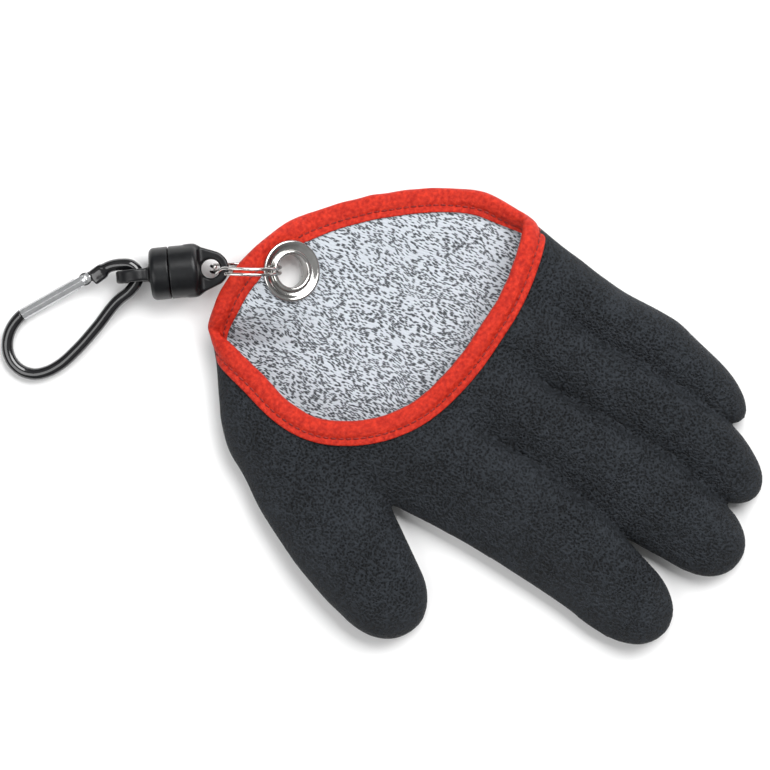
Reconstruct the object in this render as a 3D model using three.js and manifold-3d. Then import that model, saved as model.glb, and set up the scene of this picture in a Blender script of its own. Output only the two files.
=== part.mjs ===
// A left-hand fish-handling glove that lies palm down, with a ring, a magnetic release and a carabiner.
// +Y runs from the wrist to the fingertips, +X to the thumb side, and the palm lies on Z = 0.
import * as THREE from 'three';
import { mergeVertices } from 'three/addons/utils/BufferGeometryUtils.js';
import Module from 'manifold-3d';

const wasm = await Module();
wasm.setup();

// Fabric and tape
const coat = 1.2;
const knit = 1.0;
const fit = 0.3;
const tape = 0.9;
const tapeWidth = 9.5;
const slit = 0.6;

// The hand
const palmWidth = 128;
const palmLength = 150;
const palmHeight = 24;
const palmSquareness = 0.62;
const digitSquareness = 0.85;
const thumbWidth = 44;
const thumbHeight = 20;
const fingerLean = 4;
const mouthLevel = 11;
const mouthStep = 4;
const tapeLift = 1.3;
const liftOfBack = 0.6;
const liftOfMouth = 0.92;
const liftReach = 21;
const slopePastGrommet = 0.25;
const edgeRunOn = 20;

// Grommet, split ring and magnetic release
const holeRadius = 7;
const barrelWall = 0.8;
const flangeRadius = 13;
const sheetMetal = 0.7;
const grommetHeight = 8.8;
const grommetTilt = THREE.MathUtils.degToRad(26);
const ringRadius = 14.5;
const ringWire = 1.3;
const coilPitch = 2.3;
const ringLean = THREE.MathUtils.degToRad(6);
const touch = 0.35;
const clipRadius = 11;
const clipHeading = THREE.MathUtils.degToRad(-50.6);
const ringCapLength = 12;
const clipCapLength = 8;
const capEdge = 2.2;
const magnetRadius = 7.7;
const magnetDepth = 4.5;
const lugThickness = 5.2;
const lugRim = 3.5;
const ringLugHole = 4;
const ringLugReach = 5;
const clipLugHole = 4.6;
const clipLugReach = 6.4;
const lugRoot = 8.6;

// Carabiner
const carabinerReach = 66;
const carabinerWidth = 26.3;
const carabinerHeading = THREE.MathUtils.degToRad(-19.3);
const barRadius = 2.5;
const gateRadius = 2.35;
const rivetRadius = 1;
const tongue = 1.9;
const gateHeel = 2.9;
const slotReach = 4.3;
const bendRoom = 0.5;
const gripAlong = 0.02;
const gripSide = -0.06;
const gateAlong = 0.302;
const gateSide = 0.4;
const noseAlong = 0.765;
const noseSide = 0.555;

const latexBlack = new THREE.MeshStandardMaterial({ color: 0x25282b, roughness: 0.85 });
const knitGrey = new THREE.MeshStandardMaterial({ color: 0x9ea3a8, roughness: 0.95 });
const tapeRed = new THREE.MeshStandardMaterial({ color: 0xdb3a22, roughness: 0.6 });
const nickel = new THREE.MeshStandardMaterial({ color: 0xc9c9c6, roughness: 0.2, metalness: 1 });
const magnetMetal = new THREE.MeshStandardMaterial({ color: 0x9b9b98, roughness: 0.35, metalness: 1 });
const blackPlastic = new THREE.MeshStandardMaterial({ color: 0x1c1d1f, roughness: 0.4 });
const blackMetal = new THREE.MeshStandardMaterial({ color: 0x121314, roughness: 0.25, metalness: 0.6 });
const aluminium = new THREE.MeshStandardMaterial({ color: 0xc4c6c8, roughness: 0.35, metalness: 1 });

// The palm from the wrist to the finger roots: left and right are shares of palmWidth
const palmRows = [
  { along: -0.670, left: -0.775, right: 0.110, high: 0.73 },
  { along: -0.590, left: -0.770, right: 0.150, high: 0.74 },
  { along: -0.535, left: -0.765, right: 0.207, high: 0.76 },
  { along: -0.480, left: -0.760, right: 0.273, high: 0.78 },
  { along: -0.425, left: -0.755, right: 0.344, high: 0.80 },
  { along: -0.365, left: -0.750, right: 0.418, high: 0.82 },
  { along: -0.290, left: -0.742, right: 0.474, high: 0.84 },
  { along: -0.205, left: -0.733, right: 0.445, high: 0.88 },
  { along: -0.110, left: -0.724, right: 0.385, high: 0.92 },
  { along: -0.020, left: -0.712, right: 0.358, high: 0.96 },
  { along: 0.090, left: -0.695, right: 0.334, high: 1.00 },
  { along: 0.260, left: -0.681, right: 0.310, high: 0.97 },
  { along: 0.400, left: -0.660, right: 0.285, high: 0.74 },
];

// The thumb from inside the palm to its tip: places are shares of palmWidth and palmLength
const thumbRows = [
  { across: 0.290, along: -0.245, heading: 42, wide: 0.90, high: 0.62 },
  { across: 0.350, along: -0.185, heading: 39, wide: 1.05, high: 0.86 },
  { across: 0.465, along: -0.020, heading: 30, wide: 1.05, high: 0.95 },
  { across: 0.533, along: 0.152, heading: 25, wide: 1.00, high: 1.00 },
  { across: 0.570, along: 0.247, heading: 23, wide: 0.90, high: 0.98 },
  { across: 0.590, along: 0.320, heading: 20, wide: 0.72, high: 0.86 },
  { across: 0.600, along: 0.372, heading: 18, wide: 0.42, high: 0.56 },
  { across: 0.604, along: 0.392, heading: 18, wide: 0.12, high: 0.20 },
];

// Each finger: its root is a share of palmWidth and palmLength, and side and wide are shares of width
const fingers = [
  {
    name: 'index', across: 0.133, along: 0.133, drift: 0.028, length: 127.5, width: 43.5, height: 20.5,
    rows: [
      { along: 0.00, side: 0.00, wide: 0.92, high: 0.85 },
      { along: 0.22, side: -0.04, wide: 1.00, high: 0.98 },
      { along: 0.42, side: -0.07, wide: 0.99, high: 1.00 },
      { along: 0.62, side: -0.06, wide: 0.93, high: 0.98 },
      { along: 0.78, side: -0.02, wide: 0.86, high: 0.93 },
      { along: 0.89, side: 0.00, wide: 0.73, high: 0.80 },
      { along: 0.965, side: 0.00, wide: 0.45, high: 0.54 },
      { along: 0.997, side: 0.00, wide: 0.13, high: 0.20 },
    ],
  },
  {
    name: 'middle', across: -0.133, along: 0.133, drift: -0.022, length: 136.5, width: 39.5, height: 21,
    rows: [
      { along: 0.00, side: 0.00, wide: 0.92, high: 0.83 },
      { along: 0.22, side: 0.00, wide: 0.96, high: 0.96 },
      { along: 0.42, side: -0.02, wide: 0.98, high: 1.00 },
      { along: 0.62, side: -0.04, wide: 0.99, high: 0.98 },
      { along: 0.78, side: -0.03, wide: 0.91, high: 0.93 },
      { along: 0.90, side: -0.01, wide: 0.81, high: 0.82 },
      { along: 0.967, side: 0.00, wide: 0.57, high: 0.58 },
      { along: 0.997, side: 0.00, wide: 0.17, high: 0.22 },
    ],
  },
  {
    name: 'ring', across: -0.377, along: 0.133, drift: 0.000, length: 127.5, width: 36.5, height: 20,
    rows: [
      { along: 0.00, side: 0.00, wide: 0.92, high: 0.86 },
      { along: 0.22, side: 0.00, wide: 0.94, high: 0.96 },
      { along: 0.42, side: 0.00, wide: 0.98, high: 1.00 },
      { along: 0.62, side: 0.00, wide: 1.00, high: 0.98 },
      { along: 0.78, side: 0.01, wide: 0.96, high: 0.92 },
      { along: 0.90, side: 0.01, wide: 0.78, high: 0.79 },
      { along: 0.965, side: 0.00, wide: 0.50, high: 0.54 },
      { along: 0.997, side: 0.00, wide: 0.14, high: 0.20 },
    ],
  },
  {
    name: 'little', across: -0.566, along: 0.133, drift: 0.034, length: 104.5, width: 31, height: 18.5,
    rows: [
      { along: 0.00, side: 0.00, wide: 0.92, high: 0.90 },
      { along: 0.24, side: -0.02, wide: 0.96, high: 0.98 },
      { along: 0.46, side: -0.05, wide: 1.00, high: 1.00 },
      { along: 0.66, side: -0.04, wide: 0.95, high: 0.96 },
      { along: 0.82, side: 0.00, wide: 0.86, high: 0.88 },
      { along: 0.92, side: 0.00, wide: 0.68, high: 0.72 },
      { along: 0.970, side: 0.00, wide: 0.45, high: 0.50 },
      { along: 0.997, side: 0.00, wide: 0.13, high: 0.20 },
    ],
  },
];

// The slits between neighbouring fingers and beside the thumb, in shares of palmWidth and palmLength
const slits = [
  [
    { across: -0.052, along: 0.330 },
    { across: -0.060, along: 0.450 },
    { across: -0.050, along: 0.600 },
    { across: -0.027, along: 0.720 },
    { across: 0.003, along: 0.850 },
  ],
  [
    { across: -0.290, along: 0.350 },
    { across: -0.310, along: 0.500 },
    { across: -0.325, along: 0.680 },
    { across: -0.312, along: 0.840 },
    { across: -0.294, along: 0.980 },
  ],
  [
    { across: -0.510, along: 0.360 },
    { across: -0.522, along: 0.450 },
    { across: -0.531, along: 0.600 },
    { across: -0.526, along: 0.740 },
    { across: -0.518, along: 0.860 },
  ],
  [
    { across: 0.362, along: 0.010 },
    { across: 0.347, along: 0.060 },
    { across: 0.325, along: 0.125 },
    { across: 0.322, along: 0.220 },
  ],
];

// The edge of the back layer round the opening, from the little-finger side to the thumb side
const backEdge = [
  { across: -0.722, along: 0.000 },
  { across: -0.640, along: 0.030 },
  { across: -0.500, along: 0.064 },
  { across: -0.340, along: 0.078 },
  { across: -0.180, along: 0.073 },
  { across: -0.023, along: 0.048 },
  { across: 0.077, along: 0.005 },
  { across: 0.165, along: -0.065 },
  { across: 0.230, along: -0.164 },
  { across: 0.236, along: -0.250 },
  { across: 0.208, along: -0.350 },
  { across: 0.192, along: -0.460 },
  { across: 0.190, along: -0.545 },
];

// The edge of the palm layer at the wrist, from the little-finger side to the thumb side
const cuffEdge = [
  { across: -0.726, along: -0.015 },
  { across: -0.716, along: -0.070 },
  { across: -0.690, along: -0.145 },
  { across: -0.638, along: -0.218 },
  { across: -0.585, along: -0.283 },
  { across: -0.530, along: -0.337 },
  { across: -0.482, along: -0.382 },
  { across: -0.429, along: -0.423 },
  { across: -0.326, along: -0.494 },
  { across: -0.262, along: -0.530 },
  { across: -0.120, along: -0.572 },
  { across: 0.048, along: -0.584 },
  { across: 0.190, along: -0.560 },
];

// The carabiner's bar from its nose to its tongue: shares of carabinerReach and carabinerWidth
const barRows = [
  { along: 0.720, side: 0.550 },
  { along: 0.775, side: 0.555 },
  { along: 0.826, side: 0.532 },
  { along: 0.882, side: 0.478 },
  { along: 0.942, side: 0.365 },
  { along: 0.985, side: 0.205 },
  { along: 1.000, side: 0.030 },
  { along: 0.982, side: -0.165 },
  { along: 0.930, side: -0.325 },
  { along: 0.860, side: -0.410 },
  { along: 0.770, side: -0.448 },
  { along: 0.620, side: -0.420 },
  { along: 0.432, side: -0.327 },
  { along: 0.210, side: -0.190 },
  { along: 0.110, side: -0.180 },
  { along: 0.045, side: -0.128 },
  { along: 0.006, side: -0.020 },
  { along: 0.010, side: 0.120 },
  { along: 0.065, side: 0.250 },
  { along: 0.130, side: 0.325 },
  { along: 0.185, side: 0.345 },
  { along: 0.225, side: 0.350 },
];

const grommetSpot = new THREE.Vector2(-0.121 * palmWidth, -0.455 * palmLength);
const ringHeading = THREE.MathUtils.degToRad(-57.6);
const outward = new THREE.Vector2(Math.cos(ringHeading), Math.sin(ringHeading));
const stack = coat + fit + knit;

// A closed solid of the geometry, with its faces turned out
function solid(geometry, tolerance = 1e-4) {
  const bare = new THREE.BufferGeometry();
  bare.setAttribute('position', geometry.attributes.position.clone());
  if (geometry.index) bare.setIndex(geometry.index.clone());
  const merged = mergeVertices(bare, tolerance);
  const places = merged.index.array;
  const triVerts = [];
  for (let i = 0; i < places.length; i += 3) {
    const [a, b, c] = places.slice(i, i + 3);
    if (a !== b && b !== c && a !== c) triVerts.push(a, b, c);
  }
  const mesh = new wasm.Mesh({
    numProp: 3,
    vertProperties: new Float32Array(merged.attributes.position.array),
    triVerts: new Uint32Array(triVerts),
  });
  mesh.merge();
  const body = new wasm.Manifold(mesh);
  if (body.volume() > 0) return body;
  mesh.triVerts.reverse();
  return new wasm.Manifold(mesh);
}

function largest(body) {
  return body.decompose().reduce((a, b) => (a.volume() > b.volume() ? a : b));
}

function geometryOf(body) {
  const mesh = body.getMesh();
  const geometry = new THREE.BufferGeometry();
  geometry.setAttribute('position', new THREE.BufferAttribute(mesh.vertProperties, 3));
  geometry.setIndex(new THREE.BufferAttribute(mesh.triVerts, 1));
  return geometry;
}

function named(body, name, material) {
  const whole = largest(solid(geometryOf(largest(body)), 1e-3));
  const shaded = geometryOf(whole).toNonIndexed();
  shaded.computeVertexNormals();
  const result = new THREE.Mesh(shaded, material);
  result.name = name;
  return result;
}

function join(bodies) {
  return bodies.reduce((a, b) => a.add(b));
}

function smooth(value) {
  const t = THREE.MathUtils.clamp(value, 0, 1);
  return t * t * (3 - 2 * t);
}

function place(row) {
  return new THREE.Vector2(row.across * palmWidth, row.along * palmLength);
}

// A smooth line through the rows, run on past both ends, moved sideways by shift into the fabric
function edgeLine(rows, shift, runOn) {
  const points = rows.map(place);
  const first = points[0].clone().sub(points[1]).setLength(runOn).add(points[0]);
  const end = points.length - 1;
  const last = points[end].clone().sub(points[end - 1]).setLength(runOn).add(points[end]);
  const curve = new THREE.SplineCurve([first, ...points, last]);
  const steps = points.length + 2;
  const line = [];
  for (let i = 0; i <= steps; i += 1) {
    const at = curve.getPoint(i / steps);
    const along = curve.getTangent(i / steps);
    line.push(new THREE.Vector2(at.x - along.y * shift, at.y + along.x * shift));
  }
  return line;
}

const cuffLine = edgeLine(cuffEdge, 0, edgeRunOn);

function distanceToCuff(x, y) {
  return Math.min(...cuffLine.map((p) => Math.hypot(p.x - x, p.y - y)));
}

// The height of the palm layer off the floor: the tape lifts its edge and the standing ring its grommet
function lift(x, y) {
  const edge = tapeLift * (1 - smooth((distanceToCuff(x, y) - 1.5 * tapeWidth) / (2 * tapeWidth)));
  const beyond = (x - grommetSpot.x) * outward.x + (y - grommetSpot.y) * outward.y;
  const aside = Math.abs((x - grommetSpot.x) * outward.y - (y - grommetSpot.y) * outward.x);
  const ramp = Math.min(beyond, flangeRadius + slopePastGrommet * Math.max(beyond - flangeRadius, 0));
  const middle = grommetHeight - stack / 2 / Math.cos(grommetTilt);
  const slope = Math.max(middle + ramp * Math.tan(grommetTilt), 0);
  return Math.max(edge, slope * (1 - smooth((aside - flangeRadius) / liftReach)));
}

// A closed tube through the rows; each row has a middle, a heading, half its width and its height
function tube(rows, grow, around, raise) {
  const rings = rows.map((row, index) => {
    const end = index === 0 ? -grow : index === rows.length - 1 ? grow : 0;
    const ahead = new THREE.Vector2(Math.sin(row.heading), Math.cos(row.heading));
    const across = new THREE.Vector2(Math.cos(row.heading), -Math.sin(row.heading));
    const half = row.height / 2;
    const points = [];
    for (let i = 0; i < around; i += 1) {
      const turn = (2 * Math.PI * (i + 0.5)) / around;
      const side = Math.sign(Math.cos(turn)) * Math.abs(Math.cos(turn)) ** row.squareness;
      const up = Math.sign(Math.sin(turn)) * Math.abs(Math.sin(turn)) ** row.squareness;
      const bottom = Math.max(up * row.press, -1);
      const seat = row.middle ? row.middle : half;
      const wide = Math.max(row.half + grow, 0.4);
      const tall = Math.max(half + grow, 0.4);
      const x = row.at.x + across.x * side * row.half;
      const y = row.at.y + across.y * side * row.half;
      const share = raise ? 1 - (1 - liftOfBack) * Math.max(up, 0) : 0;
      const z = seat + (up < 0 ? bottom : up) * tall + share * lift(x, y);
      points.push(new THREE.Vector3(
        row.at.x + across.x * side * wide + ahead.x * end,
        row.at.y + across.y * side * wide + ahead.y * end,
        z,
      ));
    }
    return points;
  });
  return loft(rings);
}

function loft(rings) {
  const around = rings[0].length;
  const corners = rings.flat();
  const middleOf = (ring) => ring.reduce((a, b) => a.add(b), new THREE.Vector3()).divideScalar(around);
  const caps = [middleOf(rings[0]), middleOf(rings[rings.length - 1])];
  const faces = [];
  for (let r = 0; r < rings.length - 1; r += 1) {
    for (let i = 0; i < around; i += 1) {
      const next = (i + 1) % around;
      const a = r * around + i;
      const b = r * around + next;
      faces.push(a, a + around, b, b, a + around, b + around);
    }
  }
  const start = corners.length;
  const lastRing = (rings.length - 1) * around;
  for (let i = 0; i < around; i += 1) {
    const next = (i + 1) % around;
    faces.push(start, i, next);
    faces.push(start + 1, lastRing + next, lastRing + i);
  }
  const geometry = new THREE.BufferGeometry().setFromPoints([...corners, ...caps]);
  geometry.setIndex(faces);
  return solid(geometry);
}

function prism(points, low, high) {
  const geometry = new THREE.ExtrudeGeometry(new THREE.Shape(points), {
    depth: high - low, bevelEnabled: false,
  });
  geometry.translate(0, 0, low);
  return solid(geometry);
}

function palmTube(grow) {
  const rows = palmRows.map((row) => ({
    at: new THREE.Vector2(((row.left + row.right) / 2) * palmWidth, row.along * palmLength),
    heading: 0,
    half: ((row.right - row.left) / 2) * palmWidth,
    height: row.high * palmHeight,
    squareness: palmSquareness,
    press: 1.35,
  }));
  return tube(rows, grow, 20, true);
}

function thumbTube(grow) {
  const rows = thumbRows.map((row) => ({
    at: place(row),
    heading: THREE.MathUtils.degToRad(row.heading),
    half: (row.wide * thumbWidth) / 2,
    height: row.high * thumbHeight,
    squareness: digitSquareness,
    press: 1.12,
  }));
  const seated = rows.map((row) => ({ ...row, middle: Math.max(row.height / 2, thumbHeight * 0.4) }));
  return tube(seated, grow, 10, true);
}

function fingerTube(finger, grow) {
  const root = place(finger);
  const rows = finger.rows.map((row) => ({
    at: new THREE.Vector2(
      root.x + finger.drift * finger.length * row.along + row.side * finger.width,
      root.y + row.along * finger.length,
    ),
    heading: finger.drift,
    half: (row.wide * finger.width) / 2,
    height: row.high * finger.height,
    squareness: digitSquareness,
    press: 1.12,
    middle: Math.max((row.high * finger.height) / 2, finger.height * 0.36),
  }));
  return tube(rows, grow, 10, false);
}

// An upright block beside a crease, from one distance to another; its foot leans to the thumb side
function creaseBlock(rows, from, to, back, lean) {
  const points = rows.map(place);
  points[0].y -= back;
  const curve = new THREE.SplineCurve(points);
  const steps = 4;
  const rings = [];
  for (let i = 0; i <= steps; i += 1) {
    const at = curve.getPoint(i / steps);
    rings.push([
      new THREE.Vector3(at.x + from + lean, at.y, -5),
      new THREE.Vector3(at.x + to + lean, at.y, -5),
      new THREE.Vector3(at.x + to - lean / 2, at.y, palmHeight * 1.2),
      new THREE.Vector3(at.x + from - lean / 2, at.y, palmHeight * 1.2),
    ]);
  }
  return loft(rings);
}

// The whole hand, grown outwards by grow or shrunk where it is negative; a slit parts its fingers
function hand(grow) {
  const half = slit / 2 - grow;
  const far = palmWidth / 2;
  const lean = (i) => (i < fingers.length - 1 ? fingerLean : 0);
  const walls = slits.map((rows, i) => creaseBlock(rows, -half, half, half, lean(i)));
  const palm = walls.reduce((body, wall) => body.subtract(wall), palmTube(grow));
  const digits = fingers.map((finger, i) => {
    let digit = fingerTube(finger, grow);
    if (i > 0) digit = digit.subtract(creaseBlock(slits[i - 1], -half, far, half, fingerLean));
    if (i < fingers.length - 1) digit = digit.subtract(creaseBlock(slits[i], -far, half, half, fingerLean));
    return digit;
  });
  const thumbSlit = slits[slits.length - 1];
  const thumb = thumbTube(grow).subtract(creaseBlock(thumbSlit, -far, half, half, 0));
  return join([palm, thumb, ...digits]);
}

function wristOnly(grow) {
  return palmTube(grow).add(thumbTube(grow));
}

// A block whose underside follows the palm layer at a height above it
function above(level) {
  const cells = 18;
  const low = new THREE.Vector2(-1.1 * palmWidth, -1.0 * palmLength);
  const high = new THREE.Vector2(0.5 * palmWidth, 0.25 * palmLength);
  const rings = [];
  for (let j = 0; j <= cells; j += 1) {
    const y = THREE.MathUtils.lerp(low.y, high.y, j / cells);
    const ring = [];
    for (let i = 0; i <= cells; i += 1) {
      const x = THREE.MathUtils.lerp(low.x, high.x, i / cells);
      ring.push(new THREE.Vector3(x, y, level + liftOfMouth * lift(x, y)));
    }
    ring.push(new THREE.Vector3(high.x, y, 3 * palmHeight));
    ring.push(new THREE.Vector3(low.x, y, 3 * palmHeight));
    rings.push(ring);
  }
  return loft(rings);
}

// Everything that the opening takes away, with its edge moved by shift into the fabric
function mouth(shift) {
  const far = 1.3 * palmLength;
  const round = (line) => [
    ...line,
    new THREE.Vector2(line[line.length - 1].x, -far),
    new THREE.Vector2(-far, -far),
    new THREE.Vector2(-far, line[0].y),
  ];
  const upper = prism(round(edgeLine(backEdge, shift, edgeRunOn)), -2 * palmHeight, 2 * palmHeight);
  const lower = prism(round(edgeLine(cuffEdge, shift, edgeRunOn)), -2 * palmHeight, 2 * palmHeight);
  const step = Math.max(-mouthStep, Math.min(mouthStep, shift));
  return upper.intersect(above(mouthLevel - step)).add(lower);
}

const grommetPlace = new THREE.Matrix4()
  .makeTranslation(grommetSpot.x, grommetSpot.y, grommetHeight)
  .multiply(new THREE.Matrix4().makeRotationAxis(
    new THREE.Vector3(outward.y, -outward.x, 0).normalize(), grommetTilt,
  ));

function round(radius, low, high, sides) {
  const geometry = new THREE.CylinderGeometry(radius, radius, high - low, sides);
  geometry.rotateX(Math.PI / 2);
  geometry.translate(0, 0, (high + low) / 2);
  return geometry;
}

function atGrommet(geometry) {
  geometry.applyMatrix4(grommetPlace);
  return solid(geometry);
}

const grommetHole = atGrommet(round(holeRadius + barrelWall + fit, -12, 12, 20));
const clampHalf = stack / 2 + fit;
const lipDepth = 1;
const lipTop = clampHalf + 0.05 + sheetMetal + fit + lipDepth;
const clampSpace = atGrommet(round(flangeRadius + fit, clampHalf, 12, 20))
  .add(atGrommet(round(flangeRadius + fit, -12, -clampHalf, 20)));

function holed(body) {
  return body.subtract(grommetHole).subtract(clampSpace);
}

function latexShell() {
  return holed(hand(0).subtract(hand(-coat)).subtract(mouth(0)));
}

function knitLiner() {
  return holed(hand(-coat - fit).subtract(hand(-stack)).subtract(mouth(0)));
}

function edgeBinding() {
  const outer = wristOnly(fit + tape).subtract(wristOnly(-stack - fit - tape));
  const band = mouth(tapeWidth).subtract(mouth(-fit - tape));
  const fabric = wristOnly(fit).subtract(wristOnly(-stack - fit)).subtract(mouth(-fit));
  return holed(outer.intersect(band).subtract(fabric));
}

function turned(profile, sides) {
  const geometry = new THREE.LatheGeometry(profile.map(([r, z]) => new THREE.Vector2(r, z)), sides);
  geometry.rotateX(Math.PI / 2);
  return geometry;
}

// The dished washer on the inside of the cuff, with a raised outer rim
function grommetWasher() {
  const inner = holeRadius + barrelWall + fit;
  const foot = clampHalf + 0.05;
  const profile = [
    [inner, foot],
    [flangeRadius - 0.4, foot],
    [flangeRadius, foot + sheetMetal],
    [flangeRadius - 0.8, foot + 2.2 * sheetMetal],
    [flangeRadius - 2.2, foot + 1.8 * sheetMetal],
    [inner + 1.6, foot + sheetMetal],
    [inner, foot + sheetMetal],
    [inner, foot],
  ];
  return atGrommet(turned(profile, 20));
}

// The barrel through the cuff, its flange on the outside and its lip rolled over the washer
function grommetEyelet() {
  const outer = holeRadius + barrelWall;
  const top = lipTop - lipDepth;
  const foot = -clampHalf - 0.05;
  const profile = [
    [holeRadius, foot - 0.8 * sheetMetal],
    [holeRadius + 0.8, foot - 1.6 * sheetMetal],
    [flangeRadius - 1.4, foot - 1.4 * sheetMetal],
    [flangeRadius - 0.6, foot - 0.5 * sheetMetal],
    [flangeRadius - 0.6, foot],
    [outer, foot],
    [outer, top],
    [outer + 0.8, top],
    [outer + 1.0, top + 0.45 * lipDepth],
    [outer + 0.3, lipTop],
    [holeRadius + 0.3, top + 0.85 * lipDepth],
    [holeRadius, top + 0.3 * lipDepth],
    [holeRadius, foot - 0.8 * sheetMetal],
  ];
  return atGrommet(turned(profile, 20));
}

// The ring stands on the floor, through the grommet and through the lug of the release
const ringMiddleHeight = (ringRadius + ringWire / 2) * Math.cos(ringLean) + coilPitch * Math.sin(ringLean);
const coilsHalf = coilPitch / 2 + ringWire / 2;
const passRadius = Math.sqrt(holeRadius ** 2 - coilsHalf ** 2);
const passHeight = grommetHeight + passRadius * Math.sin(grommetTilt) + lipTop * Math.cos(grommetTilt);
const ringInGrommet = passRadius * Math.cos(grommetTilt) - lipTop * Math.sin(grommetTilt)
  - ringWire / 2 - touch;
const ringMiddle = ringInGrommet + Math.sqrt(ringRadius ** 2 - (ringMiddleHeight - passHeight) ** 2);
const lugDrop = ringMiddleHeight - clipRadius + lugThickness / 2;
const ringInLug = ringMiddle + Math.sqrt(ringRadius ** 2 - lugDrop ** 2);
const coilsInLug = coilsHalf + lugDrop * Math.sin(ringLean);
const lugMiddle = ringInLug - ringWire / 2 - touch + Math.sqrt(ringLugHole ** 2 - coilsInLug ** 2);

function beyondGrommet(distance) {
  return grommetSpot.clone().addScaledVector(outward, distance);
}

class SplitRing extends THREE.Curve {
  getPoint(t, target = new THREE.Vector3()) {
    const gap = 0.2;
    const turn = gap + t * (4 * Math.PI - 2 * gap);
    const cross = smooth((turn - 2 * Math.PI + gap) / (2 * gap)) - 0.5;
    return target.set(
      ringRadius * Math.cos(turn + 0.75), ringRadius * Math.sin(turn + 0.75), cross * coilPitch,
    );
  }
}

function roundSection(radius, sides) {
  const points = [];
  for (let i = 0; i < sides; i += 1) {
    const turn = (2 * Math.PI * i) / sides;
    points.push(new THREE.Vector2(radius * Math.cos(turn), radius * Math.sin(turn)));
  }
  return new THREE.Shape(points);
}

function splitRing() {
  const geometry = new THREE.ExtrudeGeometry(roundSection(ringWire / 2, 6), {
    steps: 40, extrudePath: new SplitRing(), bevelEnabled: false,
  });
  const middle = beyondGrommet(ringMiddle);
  const standing = new THREE.Matrix4().makeBasis(
    new THREE.Vector3(outward.x, outward.y, 0),
    new THREE.Vector3(0, 0, 1),
    new THREE.Vector3(outward.y, -outward.x, 0),
  );
  const leaning = new THREE.Matrix4().makeRotationAxis(
    new THREE.Vector3(outward.x, outward.y, 0), -ringLean,
  );
  geometry.applyMatrix4(standing);
  geometry.applyMatrix4(leaning);
  geometry.translate(middle.x, middle.y, ringMiddleHeight);
  return solid(geometry);
}

// The release: its own frame has +X along the magnets' axis, away from the ring, and its shoulder at 0
const lugPlace = beyondGrommet(lugMiddle);
const shoulder = new THREE.Vector2(
  lugPlace.x + ringLugReach * Math.cos(clipHeading),
  lugPlace.y + ringLugReach * Math.sin(clipHeading),
);
const clipPlace = new THREE.Matrix4()
  .makeTranslation(shoulder.x, shoulder.y, clipRadius)
  .multiply(new THREE.Matrix4().makeRotationZ(clipHeading));
const clipFace = ringCapLength + touch;
const clipEnd = clipFace + clipCapLength;

function atClip(geometry) {
  geometry.applyMatrix4(clipPlace);
  return solid(geometry);
}

function turnedAlongX(profile, sides) {
  const geometry = new THREE.LatheGeometry(profile.map(([x, r]) => new THREE.Vector2(r, x)), sides);
  geometry.rotateZ(-Math.PI / 2);
  return geometry;
}

// A cup from the face at 0 to its back at length, with the pocket for its magnet in the face
function capProfile(face, back) {
  const way = Math.sign(back - face);
  const pocket = face + way * (magnetDepth + fit);
  return [
    [pocket, 0],
    [pocket, magnetRadius + fit],
    [face, magnetRadius + fit],
    [face, clipRadius - 0.5],
    [face + way * 0.5, clipRadius],
    [back - way * capEdge, clipRadius],
    [back - way * capEdge * 0.35, clipRadius - capEdge * 0.3],
    [back, clipRadius - capEdge],
    [back, 0],
  ];
}

function lugPlate(root, middle, hole, upright) {
  const end = hole + lugRim;
  const way = Math.sign(middle - root);
  const sunk = root - way * 1.5;
  const shape = new THREE.Shape();
  shape.moveTo(sunk, -lugRoot);
  shape.lineTo(root + way * 1.2, -lugRoot);
  if (way > 0) shape.absarc(middle, 0, end, -Math.PI / 2 + 0.1, Math.PI / 2 - 0.1, false);
  else shape.absarc(middle, 0, end, -Math.PI / 2 - 0.1, Math.PI / 2 + 0.1, true);
  shape.lineTo(root + way * 1.2, lugRoot);
  shape.lineTo(sunk, lugRoot);
  const opening = new THREE.Path();
  opening.absarc(middle, 0, hole, 0, 2 * Math.PI, false);
  shape.holes.push(opening);
  const geometry = new THREE.ExtrudeGeometry(shape, {
    depth: lugThickness, bevelEnabled: false, curveSegments: 8,
  });
  geometry.translate(0, 0, -lugThickness / 2);
  if (upright) geometry.rotateX(Math.PI / 2);
  return geometry;
}

function magnetCap(face, back, lugAt, hole, upright) {
  const cup = atClip(turnedAlongX(capProfile(face, back), 20));
  const lug = atClip(lugPlate(back, lugAt, hole, upright));
  return cup.add(lug);
}

function magnetDisc(face, way) {
  const profile = [
    [face, 0],
    [face, magnetRadius],
    [face + way * magnetDepth, magnetRadius],
    [face + way * magnetDepth, 0],
  ];
  return atClip(turnedAlongX(profile, 20));
}

// The carabiner: its own frame has +X from the lug to its wide end and the gate on the -Y side
const play = clipLugHole - barRadius - touch - bendRoom;
const barHeight = clipRadius - 0.8 * play;
const carabinerTilt = Math.asin((barHeight - barRadius) / carabinerReach);
const eyeAlong = clipEnd + clipLugReach - 0.6 * play;
const eye = new THREE.Vector3(eyeAlong, 0, barHeight - clipRadius).applyMatrix4(clipPlace);
const carabinerPlace = new THREE.Matrix4()
  .makeTranslation(eye.x, eye.y, eye.z)
  .multiply(new THREE.Matrix4().makeRotationZ(carabinerHeading))
  .multiply(new THREE.Matrix4().makeRotationY(carabinerTilt))
  .multiply(new THREE.Matrix4().makeTranslation(
    -gripAlong * carabinerReach, gripSide * carabinerWidth, 0,
  ));

function atCarabiner(geometry) {
  geometry.applyMatrix4(carabinerPlace);
  return solid(geometry);
}

function onCarabiner(along, side) {
  return new THREE.Vector3(along * carabinerReach, -side * carabinerWidth, 0);
}

const pivot = onCarabiner(gateAlong, gateSide);
const nose = onCarabiner(noseAlong, noseSide);
const gateWay = nose.clone().sub(pivot).normalize();
const gateReach = nose.distanceTo(pivot);

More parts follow.
